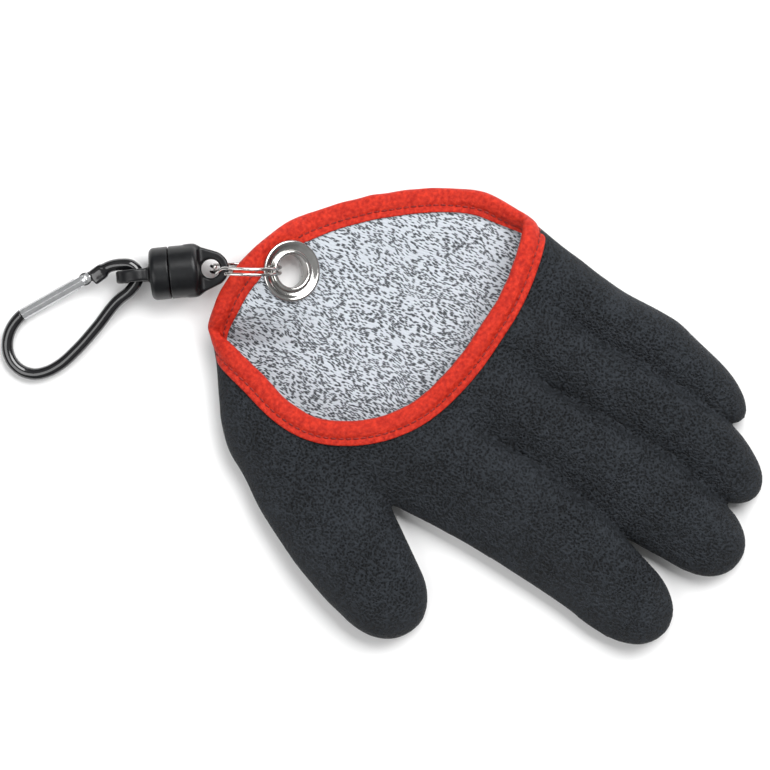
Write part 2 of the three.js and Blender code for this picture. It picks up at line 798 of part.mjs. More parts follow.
function bar(rows, steps) {
  const path = new THREE.CatmullRomCurve3(rows.map((row) => onCarabiner(row.along, row.side)));
  return atCarabiner(new THREE.ExtrudeGeometry(roundSection(barRadius, 8), {
    steps, extrudePath: path, bevelEnabled: false,
  }));
}

function disc(radius, half, sides) {
  const geometry = round(radius, -half, half, sides);
  geometry.translate(pivot.x, pivot.y, 0);
  return atCarabiner(geometry);
}

function tonguePlate() {
  const outline = [
    onCarabiner(0.175, 0.430),
    onCarabiner(0.215, 0.445),
    onCarabiner(0.255, 0.440),
    onCarabiner(0.255, 0.225),
    onCarabiner(0.215, 0.250),
    onCarabiner(0.175, 0.265),
  ];
  const points = outline.map((p) => new THREE.Vector2(p.x, p.y));
  const flare = new THREE.ExtrudeGeometry(new THREE.Shape(points), {
    depth: 2 * gateRadius, bevelEnabled: false,
  });
  flare.translate(0, 0, -gateRadius);
  return atCarabiner(flare).subtract(disc(gateHeel + touch, 2 * barRadius, 24));
}

function carabinerBody() {
  const noseBar = bar(barRows.slice(0, 5), 6).subtract(disc(gateReach + touch, 2 * barRadius, 56));
  const spine = bar(barRows.slice(3), 34).subtract(disc(gateHeel + touch, 2 * barRadius, 24));
  const heel = new THREE.BoxGeometry(0.1 * carabinerReach, 2 * gateRadius - 0.6, tongue);
  heel.translate(-0.05 * carabinerReach, 0, 0);
  heel.rotateZ(Math.atan2(gateWay.y, gateWay.x));
  heel.translate(pivot.x, pivot.y, 0);
  const blade = atCarabiner(heel).add(disc(gateHeel - 0.2, tongue / 2, 20));
  return join([noseBar, spine, tonguePlate(), blade]).subtract(disc(rivetRadius + fit, 2 * barRadius, 16));
}

function alongGate(geometry) {
  geometry.rotateZ(Math.atan2(gateWay.y, gateWay.x));
  geometry.translate(pivot.x, pivot.y, 0);
  return atCarabiner(geometry);
}

function carabinerGate() {
  const rod = new THREE.CylinderGeometry(gateRadius, gateRadius, gateReach + gateHeel + 4, 12);
  rod.rotateZ(Math.PI / 2);
  rod.translate((gateReach - gateHeel + 4) / 2, 0, 0);
  const ahead = new THREE.BoxGeometry(2 * gateReach, 4 * gateRadius, 4 * gateRadius);
  ahead.translate(gateReach, 0, 0);
  const reach = alongGate(ahead).add(disc(gateHeel, 2 * gateRadius, 24));
  const slot = new THREE.BoxGeometry(slotReach + 2 * gateHeel, 4 * gateRadius, tongue + 2 * fit);
  slot.translate(slotReach / 2 - gateHeel, 0, 0);
  return alongGate(rod)
    .intersect(disc(gateReach, 2 * barRadius, 56))
    .intersect(reach)
    .subtract(alongGate(slot))
    .subtract(disc(rivetRadius + fit, 2 * barRadius, 16));
}

function gateRivet() {
  return disc(rivetRadius, gateRadius, 16);
}

const glove = new THREE.Group();
glove.add(
  named(latexShell(), 'latex_shell', latexBlack),
  named(knitLiner(), 'knit_liner', knitGrey),
  named(edgeBinding(), 'edge_binding', tapeRed),
  named(grommetWasher(), 'grommet_washer', nickel),
  named(grommetEyelet(), 'grommet_eyelet', nickel),
  named(splitRing(), 'split_ring', nickel),
);
const ringLugAt = -ringLugReach;
const clipLugAt = clipEnd + clipLugReach;
const release = new THREE.Group();
release.add(
  named(magnetCap(ringCapLength, 0, ringLugAt, ringLugHole, false), 'magnet_cap_ring_side', blackPlastic),
  named(magnetDisc(ringCapLength, -1), 'magnet_disc_ring_side', magnetMetal),
  named(magnetDisc(clipFace, 1), 'magnet_disc_clip_side', magnetMetal),
  named(magnetCap(clipFace, clipEnd, clipLugAt, clipLugHole, true), 'magnet_cap_clip_side', blackPlastic),
);
const carabiner = new THREE.Group();
carabiner.add(
  named(carabinerBody(), 'carabiner_body', blackMetal),
  named(carabinerGate(), 'carabiner_gate', aluminium),
  named(gateRivet(), 'gate_rivet', aluminium),
);

const part = new THREE.Group();
part.add(glove, release, carabiner);

export default part;
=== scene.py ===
from math import asin, cos, exp, pi, radians, sin, sqrt, tan

import bpy
import numpy as np
from mathutils import Matrix, Vector, noise
from mathutils.bvhtree import BVHTree


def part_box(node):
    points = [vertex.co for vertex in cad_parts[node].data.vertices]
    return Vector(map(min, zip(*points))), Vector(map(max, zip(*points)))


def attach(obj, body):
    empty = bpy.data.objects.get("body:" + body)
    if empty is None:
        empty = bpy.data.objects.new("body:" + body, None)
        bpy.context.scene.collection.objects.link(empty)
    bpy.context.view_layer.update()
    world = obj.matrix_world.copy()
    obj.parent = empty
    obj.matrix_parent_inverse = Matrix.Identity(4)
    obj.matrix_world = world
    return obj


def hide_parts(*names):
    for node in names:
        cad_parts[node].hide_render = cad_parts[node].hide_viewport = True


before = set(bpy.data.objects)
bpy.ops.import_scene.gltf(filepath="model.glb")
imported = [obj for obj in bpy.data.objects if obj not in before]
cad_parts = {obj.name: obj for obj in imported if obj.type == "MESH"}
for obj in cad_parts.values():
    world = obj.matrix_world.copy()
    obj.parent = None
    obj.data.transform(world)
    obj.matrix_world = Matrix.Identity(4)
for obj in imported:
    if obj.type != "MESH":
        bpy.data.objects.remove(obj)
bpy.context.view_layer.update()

mm = 0.001  # every shape below is worked out in millimetres


# lines, fields and nets of corners

def along(places, values, at):
    # a smooth line through the values, level past both ends
    places, values = np.asarray(places, float), np.asarray(values, float)
    slope = np.gradient(values, places)
    i = np.clip(np.searchsorted(places, at) - 1, 0, len(places) - 2)
    gap = places[i + 1] - places[i]
    t = np.clip((at - places[i]) / gap, 0, 1)
    a, b = 2 * t**3 - 3 * t**2 + 1, t**3 - 2 * t**2 + t
    c, d = 3 * t**2 - 2 * t**3, t**3 - t**2
    return a * values[i] + b * gap * slope[i] + c * values[i + 1] + d * gap * slope[i + 1]


def easy(value):
    # 0 to 1 with soft ends
    t = np.clip(value, 0, 1)
    return t * t * (3 - 2 * t)


def lengthsOf(points):
    # how far along its line each point stands
    return np.concatenate([[0], np.cumsum(np.linalg.norm(np.diff(points, axis=0), axis=1))])


def pointsAt(at, span, points):
    return np.stack([np.interp(at, span, points[:, k]) for k in range(3)], axis=1)


def splined(points, each):
    # many points on a smooth line through the few
    points = np.asarray(points, float)
    span = lengthsOf(points)
    at = np.linspace(0, span[-1], each * (len(points) - 1) + 1)
    return np.stack([along(span, points[:, k], at) for k in range(points.shape[1])], axis=1)


def lineDistance(line, x, y):
    # how far each place is from the nearest part of a flat line
    nearest = np.full(x.shape, 1e9)
    for a, b in zip(line[:-1], line[1:]):
        way = b - a
        t = np.clip(((x - a[0]) * way[0] + (y - a[1]) * way[1]) / way.dot(way), 0, 1)
        nearest = np.minimum(nearest, np.hypot(x - a[0] - t * way[0], y - a[1] - t * way[1]))
    return nearest


def softened(soft, *gaps):
    # a solid kept by flat limits, with its edges rounded
    q = [gap + soft for gap in gaps]
    return np.sqrt(sum(np.maximum(k, 0)**2 for k in q)) + np.minimum(np.maximum.reduce(q), 0) - soft


def melt(a, b, width):
    # the nearer of two fields, rounded where they meet
    h = np.maximum(width - np.abs(a - b), 0) / width
    return np.minimum(a, b) - h * h * width / 4


def skinOf(field, low, step):
    # quads on the zero of a field that is kept on a grid, one corner in each crossed cell
    inside, unit = field < 0, np.eye(3, dtype=int)
    x, y, z = np.array(field.shape) - 1
    count = sum(inside[a:a + x, b:b + y, c:c + z].astype(np.int8) for a, b, c in np.ndindex(2, 2, 2))
    active = (count > 0) & (count < 8)
    number = np.full(active.shape, -1)
    number[active] = np.arange(active.sum())
    cells = np.argwhere(active)
    total, hits = np.zeros((len(cells), 3)), np.zeros(len(cells))
    for a in np.ndindex(2, 2, 2):
        for axis in range(3):
            if a[axis]:
                continue
            fa, fb = field[tuple((cells + a).T)], field[tuple((cells + a + unit[axis]).T)]
            crossed = (fa < 0) != (fb < 0)
            t = np.where(crossed, fa / np.where(crossed, fa - fb, 1), 0)
            total += (np.array(a) + t[:, None] * unit[axis]) * crossed[:, None]
            hits += crossed
    verts = np.array(low) + step * (cells + total / hits[:, None])
    quads = []
    for axis in range(3):
        u, v = unit[(axis + 1) % 3], unit[(axis + 2) % 3]
        here = tuple(slice(0, -1) if k == axis else slice(1, -1) for k in range(3))
        there = tuple(slice(1, None) if k == axis else slice(1, -1) for k in range(3))
        edge = np.argwhere(inside[here] != inside[there]) + u + v
        quad = np.stack([number[tuple((edge - by).T)] for by in (u + v, v, 0 * u, u)], axis=1)
        back = ~inside[tuple(edge.T)]
        quad[back] = quad[back][:, ::-1]
        quads.append(quad)
    return verts, np.concatenate(quads)


def gridOf(low, high, step):
    # places all over a box, with a margin
    axes = [np.arange(a - 2 * step, b + 2.5 * step, step) for a, b in zip(low, high)]
    return np.meshgrid(*axes, indexing="ij"), [axis[0] for axis in axes]


def carve(shape, low, high, step, polish=3):
    # a skin on the zero of shape(x, y, z), pulled onto it afterwards
    grid, corner = gridOf(low, high, step)
    verts, quads = skinOf(shape(*grid), corner, step)
    nudge = step * 0.05
    for _ in range(polish):
        here = shape(*verts.T)
        slope = np.stack([shape(*(verts + nudge * np.eye(3)[k]).T) - here for k in range(3)], axis=1) / nudge
        size = np.maximum((slope**2).sum(axis=1), 0.3)
        verts = verts - np.clip(here / size, -0.4 * step, 0.4 * step)[:, None] * slope
    return verts, quads


def lathe(profile, sides):
    # turns a closed profile of (radius, height) about Z
    turn = np.linspace(0, 2 * pi, sides, endpoint=False)
    verts = [(r * cos(a), r * sin(a), z) for a in turn for r, z in np.asarray(profile, float)]
    n = len(profile)
    faces = [(i * n + j, ((i + 1) % sides) * n + j, ((i + 1) % sides) * n + (j + 1) % n, i * n + (j + 1) % n)
             for i in range(sides) for j in range(n)]
    return np.array(verts), faces


def tubeFaces(rows, columns):
    # quads between rows of corners that close round
    return [(r * columns + c, r * columns + (c + 1) % columns, (r + 1) * columns + (c + 1) % columns,
             (r + 1) * columns + c) for r in range(rows - 1) for c in range(columns)]


def sweep(path, radius, sides):
    # a round wire along the points
    path = np.asarray(path, float)
    ahead = np.gradient(path, axis=0)
    ahead /= np.linalg.norm(ahead, axis=1)[:, None]
    side = np.cross(ahead[0], (0.3, 0.5, 0.8))
    verts = []
    for p, t in zip(path, ahead):
        side = side - t * side.dot(t)
        side /= np.linalg.norm(side)
        up = np.cross(t, side)
        for a in 2 * pi * np.arange(sides) / sides:
            verts.append(p + radius * (cos(a) * side + sin(a) * up))
    last = (len(path) - 1) * sides
    ends = [tuple(range(sides))[::-1], tuple(last + k for k in range(sides))]
    return np.array(verts), tubeFaces(len(path), sides) + ends


def placed(verts, matrix):
    m = np.array(matrix)
    return np.asarray(verts) @ m[:3, :3].T + m[:3, 3]


def together(shapes):
    # several shapes as one
    verts, faces, start = [], [], 0
    for v, f in shapes:
        verts.append(np.asarray(v))
        faces += [tuple(int(i) + start for i in face) for face in f]
        start += len(v)
    return np.concatenate(verts), faces


def shown(name, data):
    obj = bpy.data.objects.new(name, data)
    bpy.context.scene.collection.objects.link(obj)
    return obj


def piece(name, verts, faces, material, body, slot, cadNode=None, modifiers=(), sharp=None):
    # one dressed piece; its modifiers are applied, and faces meet hard above the angle sharp
    mesh = bpy.data.meshes.new(name)
    mesh.from_pydata((np.asarray(verts) * mm).tolist(), [], [tuple(int(i) for i in f) for f in faces])
    mesh.materials.append(material)
    obj = shown(name, mesh)
    for kind, values in modifiers:
        modifier = obj.modifiers.new(kind.lower(), kind)
        for key, value in values.items():
            setattr(modifier, key, value)
    if modifiers:
        whole = bpy.data.meshes.new_from_object(obj.evaluated_get(bpy.context.evaluated_depsgraph_get()))
        obj.modifiers.clear()
        obj.data = whole
    obj.data.shade_smooth()
    if sharp:
        obj.data.set_sharp_from_angle(angle=radians(sharp))
    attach(obj, body)
    if cadNode:
        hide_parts(cadNode)
    print(f"{name}: {len(obj.data.vertices)} corners")


# shader groups and materials

def groupOf(name, inputs, outputs):
    group = bpy.data.node_groups.new(name, "ShaderNodeTree")
    for label, kind, value in inputs:
        socket = group.interface.new_socket(label, in_out="INPUT", socket_type="NodeSocket" + kind)
        if value is not None:
            socket.default_value = value
    for label, kind in outputs:
        group.interface.new_socket(label, in_out="OUTPUT", socket_type="NodeSocket" + kind)
    return group, group.nodes.new("NodeGroupInput").outputs, group.nodes.new("NodeGroupOutput").inputs


def feed(socket, source):
    # links a socket to another, or sets it to a plain value
    if isinstance(source, bpy.types.NodeSocket):
        socket.id_data.links.new(source, socket)
    else:
        socket.default_value = source


def node(tree, kind, wires=None, **values):
    # one node, with its inputs fed by wires
    made = tree.nodes.new("ShaderNode" + kind)
    for key, value in values.items():
        setattr(made, key, value)
    for key, source in (wires or {}).items():
        feed(made.inputs[key], source)
    return made


def maths(tree, operation, a, b=0.0, clamp=False):
    return node(tree, "Math", {0: a, 1: b}, operation=operation, use_clamp=clamp).outputs[0]


def times(tree, a, b):
    return maths(tree, "MULTIPLY", a, b)


def plus(tree, a, b):
    return maths(tree, "ADD", a, b)


def ramp(tree, fac, low, high):
    return node(tree, "MapRange", {"Value": fac, "From Min": low, "From Max": high}).outputs["Result"]


def blend(tree, fac, a, b):
    return node(tree, "Mix", {0: fac, 6: a, 7: b}, data_type="RGBA").outputs[2]


def cloudy(tree, place, scale, detail, roughness=0.5):
    wires = {"Vector": place, "Scale": scale, "Detail": detail, "Roughness": roughness}
    return node(tree, "TexNoise", wires).outputs


def swayed(tree, place, scale, by):
    # the place moved about by soft noise
    sway = cloudy(tree, place, scale, 2.0)["Color"]
    shift = node(tree, "VectorMath", {0: sway, 3: by}, operation="SCALE").outputs[0]
    return node(tree, "VectorMath", {0: place, 1: shift}, operation="ADD").outputs[0]


def bumped(tree, height, strength, distance):
    return node(tree, "Bump", {"Height": height, "Strength": strength, "Distance": distance}).outputs[0]


def softToneGroup():
    # soft uneven tone, for handled cloth, plastic and metal; Size is in millimetres
    tree, put, out = groupOf("soft tone", [("Position", "Vector", None), ("Size", "Float", 5.0)],
                             [("Tone", "Float"), ("Fine", "Float")])
    scale = maths(tree, "DIVIDE", 1000.0, put["Size"])
    feed(out["Tone"], ramp(tree, cloudy(tree, put["Position"], scale, 4.0)[0], 0.3, 0.7))
    feed(out["Fine"], cloudy(tree, put["Position"], times(tree, scale, 9.0), 3.0)[0])
    return tree


def crinkleGroup():
    # the pits and ridges of a foamed coating; Grain and Depth are in millimetres
    tree, put, out = groupOf("crinkle", [("Position", "Vector", None), ("Grain", "Float", 0.8),
                                         ("Depth", "Float", 0.2)], [("Pits", "Float"), ("Normal", "Vector")])
    scale = maths(tree, "DIVIDE", 1000.0, put["Grain"])
    moved = swayed(tree, put["Position"], times(tree, scale, 0.5), 0.0007)
    cells = node(tree, "TexVoronoi", {"Vector": moved, "Scale": scale, "Randomness": 1.0}, feature="SMOOTH_F1")
    small = cloudy(tree, moved, times(tree, scale, 1.6), 3.0, 0.6)[0]
    ridges = times(tree, ramp(tree, cells.outputs["Distance"], 0.15, 0.75), 0.6)
    height = plus(tree, ridges, times(tree, small, 0.8))
    feed(out["Pits"], ramp(tree, height, 0.48, 0.82))
    feed(out["Normal"], bumped(tree, height, 1.0, times(tree, put["Depth"], mm)))
    return tree


def materialOf(name, roughness, more=()):
    # a principled material; more holds further sockets and their values
    made = bpy.data.materials.new(name)
    made.use_nodes = True
    tree = made.node_tree
    put = tree.nodes["Principled BSDF"].inputs
    for key, number in {"Roughness": roughness, **dict(more)}.items():
        put[key].default_value = number
    return made, tree, put, tree.nodes.new("ShaderNodeTexCoord").outputs["Object"]


softTone, crinkle = softToneGroup(), crinkleGroup()


def grouped(tree, group, wires):
    made = tree.nodes.new("ShaderNodeGroup")
    made.node_tree = group
    for key, source in wires.items():
        feed(made.inputs[key], source)
    return made.outputs


latexLook = dict(dark=(0.0012, 0.0015, 0.002, 1), light=(0.031, 0.036, 0.043, 1), grain=0.95, depth=1.1,
                 pitShadeShare=0.75, dust=0.25, dustSize=16.0)


def latexMaterial():
    made, tree, put, place = materialOf("crinkled black latex", 0.6, {"Specular IOR Level": 0.22})
    pits = grouped(tree, crinkle, {"Position": place, "Grain": latexLook["grain"], "Depth": latexLook["depth"]})
    tone = grouped(tree, softTone, {"Position": place, "Size": latexLook["dustSize"]})
    # painted shade in the pits and painted highlight on the ridges: the colour follows the crinkle's height, mixed
    # with soft random tone
    share = maths(tree, "ADD", times(tree, pits["Pits"], latexLook["pitShadeShare"]),
                  times(tree, tone["Tone"], latexLook["dust"]), clamp=True)
    feed(put["Base Color"], blend(tree, share, latexLook["dark"], latexLook["light"]))
    feed(put["Roughness"], ramp(tree, pits["Pits"], -1.2, 1.6))
    feed(put["Normal"], pits["Normal"])
    return made


# fleckWide and fleckLong are millimetres, heading and slant degrees; the flecks thicken along one way across the
# cloth, a painted shadow of the back layer
knitLook = dict(yarn=(0.53, 0.57, 0.61, 1), shade=(0.40, 0.43, 0.48, 1), fleck=(0.020, 0.022, 0.026, 1),
                heading=-12, slant=8, fleckWide=0.56, fleckLong=1.9, fleckEdge=(0.52, 0.40),
                fleckTone=0.93, share=0.39, patches=0.34, patchScale=120.0, backShadowWay=(0.6, 0.8, 0),
                backShadow=0.22, backShadowFrom=-0.06, backShadowTo=0.01, waves=60.0, waveBy=0.005, rowScale=260.0,
                fuzzScale=2600.0, relief=0.0003)


def knitMaterial():
    # light yarn with short black slanting flecks, row on row
    made, tree, put, place = materialOf("grey flecked knit", 0.9,
                                        {"Specular IOR Level": 0.2, "Sheen Weight": 0.15})
    moved = swayed(tree, place, knitLook["waves"], knitLook["waveBy"])

    def facing(degrees):
        return node(tree, "Mapping", {"Vector": moved, "Rotation": (0, 0, radians(degrees))}).outputs[0]

    cut = node(tree, "Mapping", {"Vector": facing(knitLook["heading"] + knitLook["slant"]), "Scale": (
        1000 / knitLook["fleckWide"], 1000 / knitLook["fleckLong"], 250)})
    cells = node(tree, "TexVoronoi", {"Vector": cut.outputs[0], "Scale": 1.0, "Randomness": 0.8},
                 voronoi_dimensions="2D")
    patch = cloudy(tree, place, knitLook["patchScale"], 3.0)[0]
    pick = node(tree, "SeparateColor", {0: cells.outputs["Color"]}).outputs[0]
    # painted shadow of the back layer: the flecks grow denser along the way given
    slope = node(tree, "VectorMath", {0: place, 1: knitLook["backShadowWay"]}, operation="DOT_PRODUCT").outputs["Value"]
    limit = plus(tree, knitLook["share"], times(tree, patch, knitLook["patches"]))
    backShadow = ramp(tree, slope, knitLook["backShadowFrom"], knitLook["backShadowTo"])
    limit = plus(tree, limit, times(tree, backShadow, knitLook["backShadow"]))
    dark = times(tree, maths(tree, "LESS_THAN", pick, limit),
                 ramp(tree, cells.outputs["Distance"], *knitLook["fleckEdge"]))
    rows = node(tree, "TexWave", {"Vector": facing(knitLook["heading"]), "Scale": knitLook["rowScale"],
                                  "Distortion": 1.5, "Detail": 2.0}).outputs["Fac"]
    fuzz = cloudy(tree, place, knitLook["fuzzScale"], 2.0)[0]
    light = blend(tree, plus(tree, times(tree, rows, 0.25), times(tree, fuzz, 0.3)),
                  knitLook["yarn"], knitLook["shade"])
    feed(put["Base Color"], blend(tree, times(tree, dark, knitLook["fleckTone"]), light, knitLook["fleck"]))
    height = plus(tree, times(tree, cells.outputs["Distance"], -0.8), times(tree, rows, 0.5))
    feed(put["Normal"], bumped(tree, height, 0.7, knitLook["relief"]))
    return made


tapeLook = dict(bright=(0.66, 0.036, 0.014, 1), deep=(0.36, 0.010, 0.005, 1), thread=(0.10, 0.003, 0.002, 1),
                size=1.6, threadSize=0.8, relief=0.00035)


def tapeMaterial():
    made, tree, put, place = materialOf("orange-red binding tape", 0.42, {"Specular IOR Level": 0.2})
    tone = grouped(tree, softTone, {"Position": place, "Size": tapeLook["size"]})
    feed(put["Base Color"], blend(tree, tone["Tone"], tapeLook["deep"], tapeLook["bright"]))
    feed(put["Roughness"], ramp(tree, tone["Fine"], -0.4, 1.6))
    height = plus(tree, tone["Tone"], times(tree, tone["Fine"], 1.2))
    feed(put["Normal"], bumped(tree, height, 0.7, tapeLook["relief"]))
    return made


def threadMaterial():
    made, tree, put, place = materialOf("red stitching thread", 0.6)
    tone = grouped(tree, softTone, {"Position": place, "Size": tapeLook["threadSize"]})
    feed(put["Base Color"], blend(tree, tone["Tone"], tapeLook["thread"], tapeLook["deep"]))
    return made


# painted shade: how much darker hard pieces turn where they face away from the camera, and how deep their fine
# bumps are
facingShadeAndRelief = dict(tone=0.16, start=0.25, end=0.9, share=0.8, relief=0.00003)


def hardMaterial(name, dark, light, roughness, scuff, size=6.0, more=()):
    # a hard finish whose tone and polish wander a little, with painted shade where it faces away from the camera
    made, tree, put, place = materialOf(name, roughness, more)
    tone = grouped(tree, softTone, {"Position": place, "Size": size})
    turned = node(tree, "LayerWeight", {"Blend": 0.5}).outputs["Facing"]
    body = blend(tree, tone["Tone"], dark, light)
    # painted shade: the base colour darkens on the sides that turn away from the camera
    shaded = tuple(facingShadeAndRelief["tone"] * c for c in dark[:3]) + (1,)
    away = times(tree, ramp(tree, turned, facingShadeAndRelief["start"], facingShadeAndRelief["end"]), facingShadeAndRelief["share"])
    feed(put["Base Color"], blend(tree, away, body, shaded))
    feed(put["Roughness"], plus(tree, times(tree, tone["Fine"], scuff), roughness - scuff / 2))
    feed(put["Normal"], bumped(tree, tone["Fine"], 0.1 + scuff, facingShadeAndRelief["relief"]))
    return made


latex, knitted, taped, thread = latexMaterial(), knitMaterial(), tapeMaterial(), threadMaterial()
metal = {"Metallic": 1.0}
nickel = hardMaterial("bright nickel", (0.60, 0.59, 0.57, 1), (0.78, 0.77, 0.75, 1), 0.13, 0.08, more=metal)
magnetSteel = hardMaterial("plated magnet", (0.45, 0.44, 0.42, 1), (0.60, 0.59, 0.57, 1), 0.28, 0.12, more=metal)
silver = hardMaterial("satin aluminium", (0.74, 0.75, 0.77, 1), (0.86, 0.87, 0.88, 1), 0.34, 0.12, 2.5, metal)
moulded = hardMaterial("black moulding", (0.004, 0.004, 0.005, 1), (0.009, 0.010, 0.011, 1), 0.34, 0.16, 3.0,
                       {"Specular IOR Level": 0.3})
glossBlack = hardMaterial("gloss black bar", (0.004, 0.004, 0.005, 1), (0.010, 0.010, 0.011, 1), 0.14, 0.06,
                          more={"Coat Weight": 0.6, "Coat Roughness": 0.06})
print("materials made")


# the hand; stations and palm rows are place along, left edge, right edge, height

glove = {
    "coat": 1.2, "knit": 1.0, "fit": 0.3, "tape": 0.75, "foldBack": 1.5, "liningBack": 2.6, "step": 1.25,
    "fingerDepth": (1.6, 14, 12),  # how much deeper the lining lies in the fingers, from where, over how much
    "web": 1, "knuckles": 5.0, "thumbMelt": (1.2, 9, -4, 32),  # least, more, from where, over how much
    "squeezeFrom": 9, "squeeze": 0.04, "layers": (3.5, 9),
    "palmForm": {"waist": 0.42, "under": 1.3, "side": 3.4, "top": 2.2},
    "digitForm": {"rootRun": 26, "tilt": 0.2, "under": 1.12, "side": 2.15, "lean": 0.9, "turn": 3, "top": 2.1},
    "palm": [
        (-112, -100, 7, 18), (-88, -98.5, 19, 18), (-72, -97.3, 33.8, 19), (-55, -96, 52.8, 20),
        (-44, -95, 59.5, 20.5), (-30, -93.8, 57, 21.3), (-16, -92.6, 50.5, 22.3), (-4, -90.7, 46.8, 22.8),
        (12, -88.5, 42.8, 22.6), (24, -86.9, 40.8, 18.5), (34, -86.3, 39.4, 14), (46, -86, 38.5, 9),
        (58, -85, 37, 6)],
    "palmEnd": (30, 58),
    "index": {"round": 127, "tip": 147.4, "root": 14, "fullness": 2.1, "belly": 0.52, "lean": 1.0, "stations": [
        (6, -2, 40, 15.5), (24, -3, 39.5, 18.6), (42, -4.2, 38.9, 20.3), (57, -6, 37.8, 20.3),
        (70, -6.2, 37.2, 20.6), (81, -5.4, 37, 20.5), (94, -4.5, 36.8, 20), (108, -2.2, 36.9, 19.6),
        (120, 0.6, 37.7, 18.8), (128, 2.4, 37.4, 18), (136, 3.8, 36.9, 17.2), (147, 4.6, 36.2, 16)]},
    "middle": {"round": 133, "tip": 156.8, "root": 14, "fullness": 2.4, "belly": 0.46, "lean": 0.8, "stations": [
        (6, -35, -3, 16), (24, -35.6, -3, 18.8), (42, -36, -3, 20.4), (54, -36, -3, 20.2),
        (68, -37.7, -2.6, 20.8), (88, -38.9, -1.8, 20.6), (98, -40, -1.2, 20.2), (109, -40, -1.4, 19.6),
        (120, -39.1, -2.2, 18.8), (132, -37.5, -3.2, 17.8), (144, -36.6, -3.6, 16.8), (156, -36, -4, 15.8)]},
    "ring": {"round": 121, "tip": 147.5, "root": 14, "fullness": 2.2, "belly": 0.44, "lean": 0.7, "stations": [
        (6, -63, -35, 15.5), (24, -63.6, -35, 18), (42, -64, -35, 19.2), (56, -64, -35, 19.2),
        (77, -65.8, -36, 19.6), (88, -66.4, -36.6, 19.4), (99, -66.3, -37.2, 19), (110, -66.2, -36.8, 18.3),
        (122, -65.7, -36.4, 17.4), (136, -63.3, -34.7, 16.4), (147, -62.4, -34.2, 15.4)]},
    "little": {"round": 100, "tip": 124.8, "root": 14, "fullness": 2.2, "belly": 0.42, "lean": 0.1, "stations": [
        (6, -86.5, -62, 14), (24, -86.5, -62, 16), (42, -86.6, -62, 17.2), (56, -87, -62.2, 17.4),
        (64, -88, -62.6, 17.6), (72, -88.8, -63, 17.6), (80, -89, -63.4, 17.4), (88, -87.6, -63.8, 17),
        (96, -86.3, -64, 16.4), (104, -85, -63.9, 15.8), (112, -83.6, -62.9, 15), (124, -81, -61.6, 14)]},
    "thumb": {"from": (64.3, 14.3), "way": (0.42, 0.9075), "round": 26, "tip": 47.6, "root": -52,
              "fullness": 2.15, "belly": 0.45, "lean": 0.0, "stations": [
        (-74, -14, 14, 11), (-60, -19, 19.5, 14), (-45, -23, 22.8, 17), (-30, -24.5, 24.6, 18.6),
        (-15, -24.4, 24.4, 19.3), (0, -23, 23.4, 19.8), (9.3, -22, 22, 19.8), (18.6, -21, 20.3, 19.3),
        (27, -20.1, 18.1, 18.4), (38, -19.6, 16.4, 17.2), (48, -19.3, 15.3, 16)]},
}
stack = glove["coat"] + glove["fit"] + glove["knit"]
# the opening's edge, on the back layer and on the palm layer
backEdge = [(-92.4, 0), (-81.9, 4.5), (-64, 9.6), (-43.5, 11.7), (-23, 11), (-3, 7.2), (9.9, 0.8), (21.1, -9.8),
            (29.4, -24.6), (30.2, -37.5), (26.9, -52.5), (24.6, -67), (23.8, -76), (26.6, -84.5)]
cuffEdge = [(-92.9, -2.3), (-91.6, -10.5), (-88.3, -21.8), (-81.7, -32.7), (-74.9, -42.5), (-67.8, -50.5),
            (-61.7, -57.3), (-54.9, -63.5), (-41.7, -74.1), (-33.5, -79.5), (-15.4, -85.8), (6.1, -87.6),
            (24.3, -84)]
eyelet = dict(spot=(-15.488, -68.25), height=8.8, tilt=26, hole=7, wall=0.8, flange=13, sheet=0.7,
              lift=1.3, liftFrom=14, liftOver=19, reach=21, past=0.25, clear=2.2, depth=8,
              outward=-57.6)  # its heading, towards the split ring
outward = (cos(radians(eyelet["outward"])), sin(radians(eyelet["outward"])))


def runOn(points, by):
    # the line, made longer at both ends
    points = [np.array(p, float) for p in points]
    ends = [end + (end - inner) / np.linalg.norm(end - inner) * by
            for end, inner in ((points[0], points[1]), (points[-1], points[-2]))]
    return [ends[0], *points, ends[1]]


def outsideOf(line, x, y):
    # distance to the line, above 0 on the side that the opening takes away
    line = splined(runOn(line, 22), 5)
    far = 220
    ring = np.array([*line, (line[-1][0], -far), (-far, -far), (-far, line[0][1])])
    within = np.zeros(x.shape, bool)
    for a, b in zip(ring, np.roll(ring, -1, axis=0)):
        if a[1] != b[1]:
            between = (a[1] > y) != (b[1] > y)
            within ^= between & (x < (b[0] - a[0]) * (y - a[1]) / (b[1] - a[1]) + a[0])
    nearest = lineDistance(line, x, y)
    return np.where(within, nearest, -nearest)


def liftAt(x, y):
    # the tape lifts the palm layer's edge, and the standing ring lifts its grommet
    fromCuff = np.abs(outsideOf(cuffEdge, x, y))
    edge = eyelet["lift"] * (1 - easy((fromCuff - eyelet["liftFrom"]) / eyelet["liftOver"]))
    dx, dy = x - eyelet["spot"][0], y - eyelet["spot"][1]
    beyond = dx * outward[0] + dy * outward[1]
    aside = np.abs(dx * outward[1] - dy * outward[0])
    tilt = radians(eyelet["tilt"])
    ramped = np.minimum(beyond, eyelet["flange"] + eyelet["past"] * np.maximum(beyond - eyelet["flange"], 0))
    slope = np.maximum(eyelet["height"] - stack / 2 / cos(tilt) + ramped * tan(tilt), 0)
    return np.maximum(edge, slope * (1 - easy((aside - eyelet["flange"]) / eyelet["reach"])))


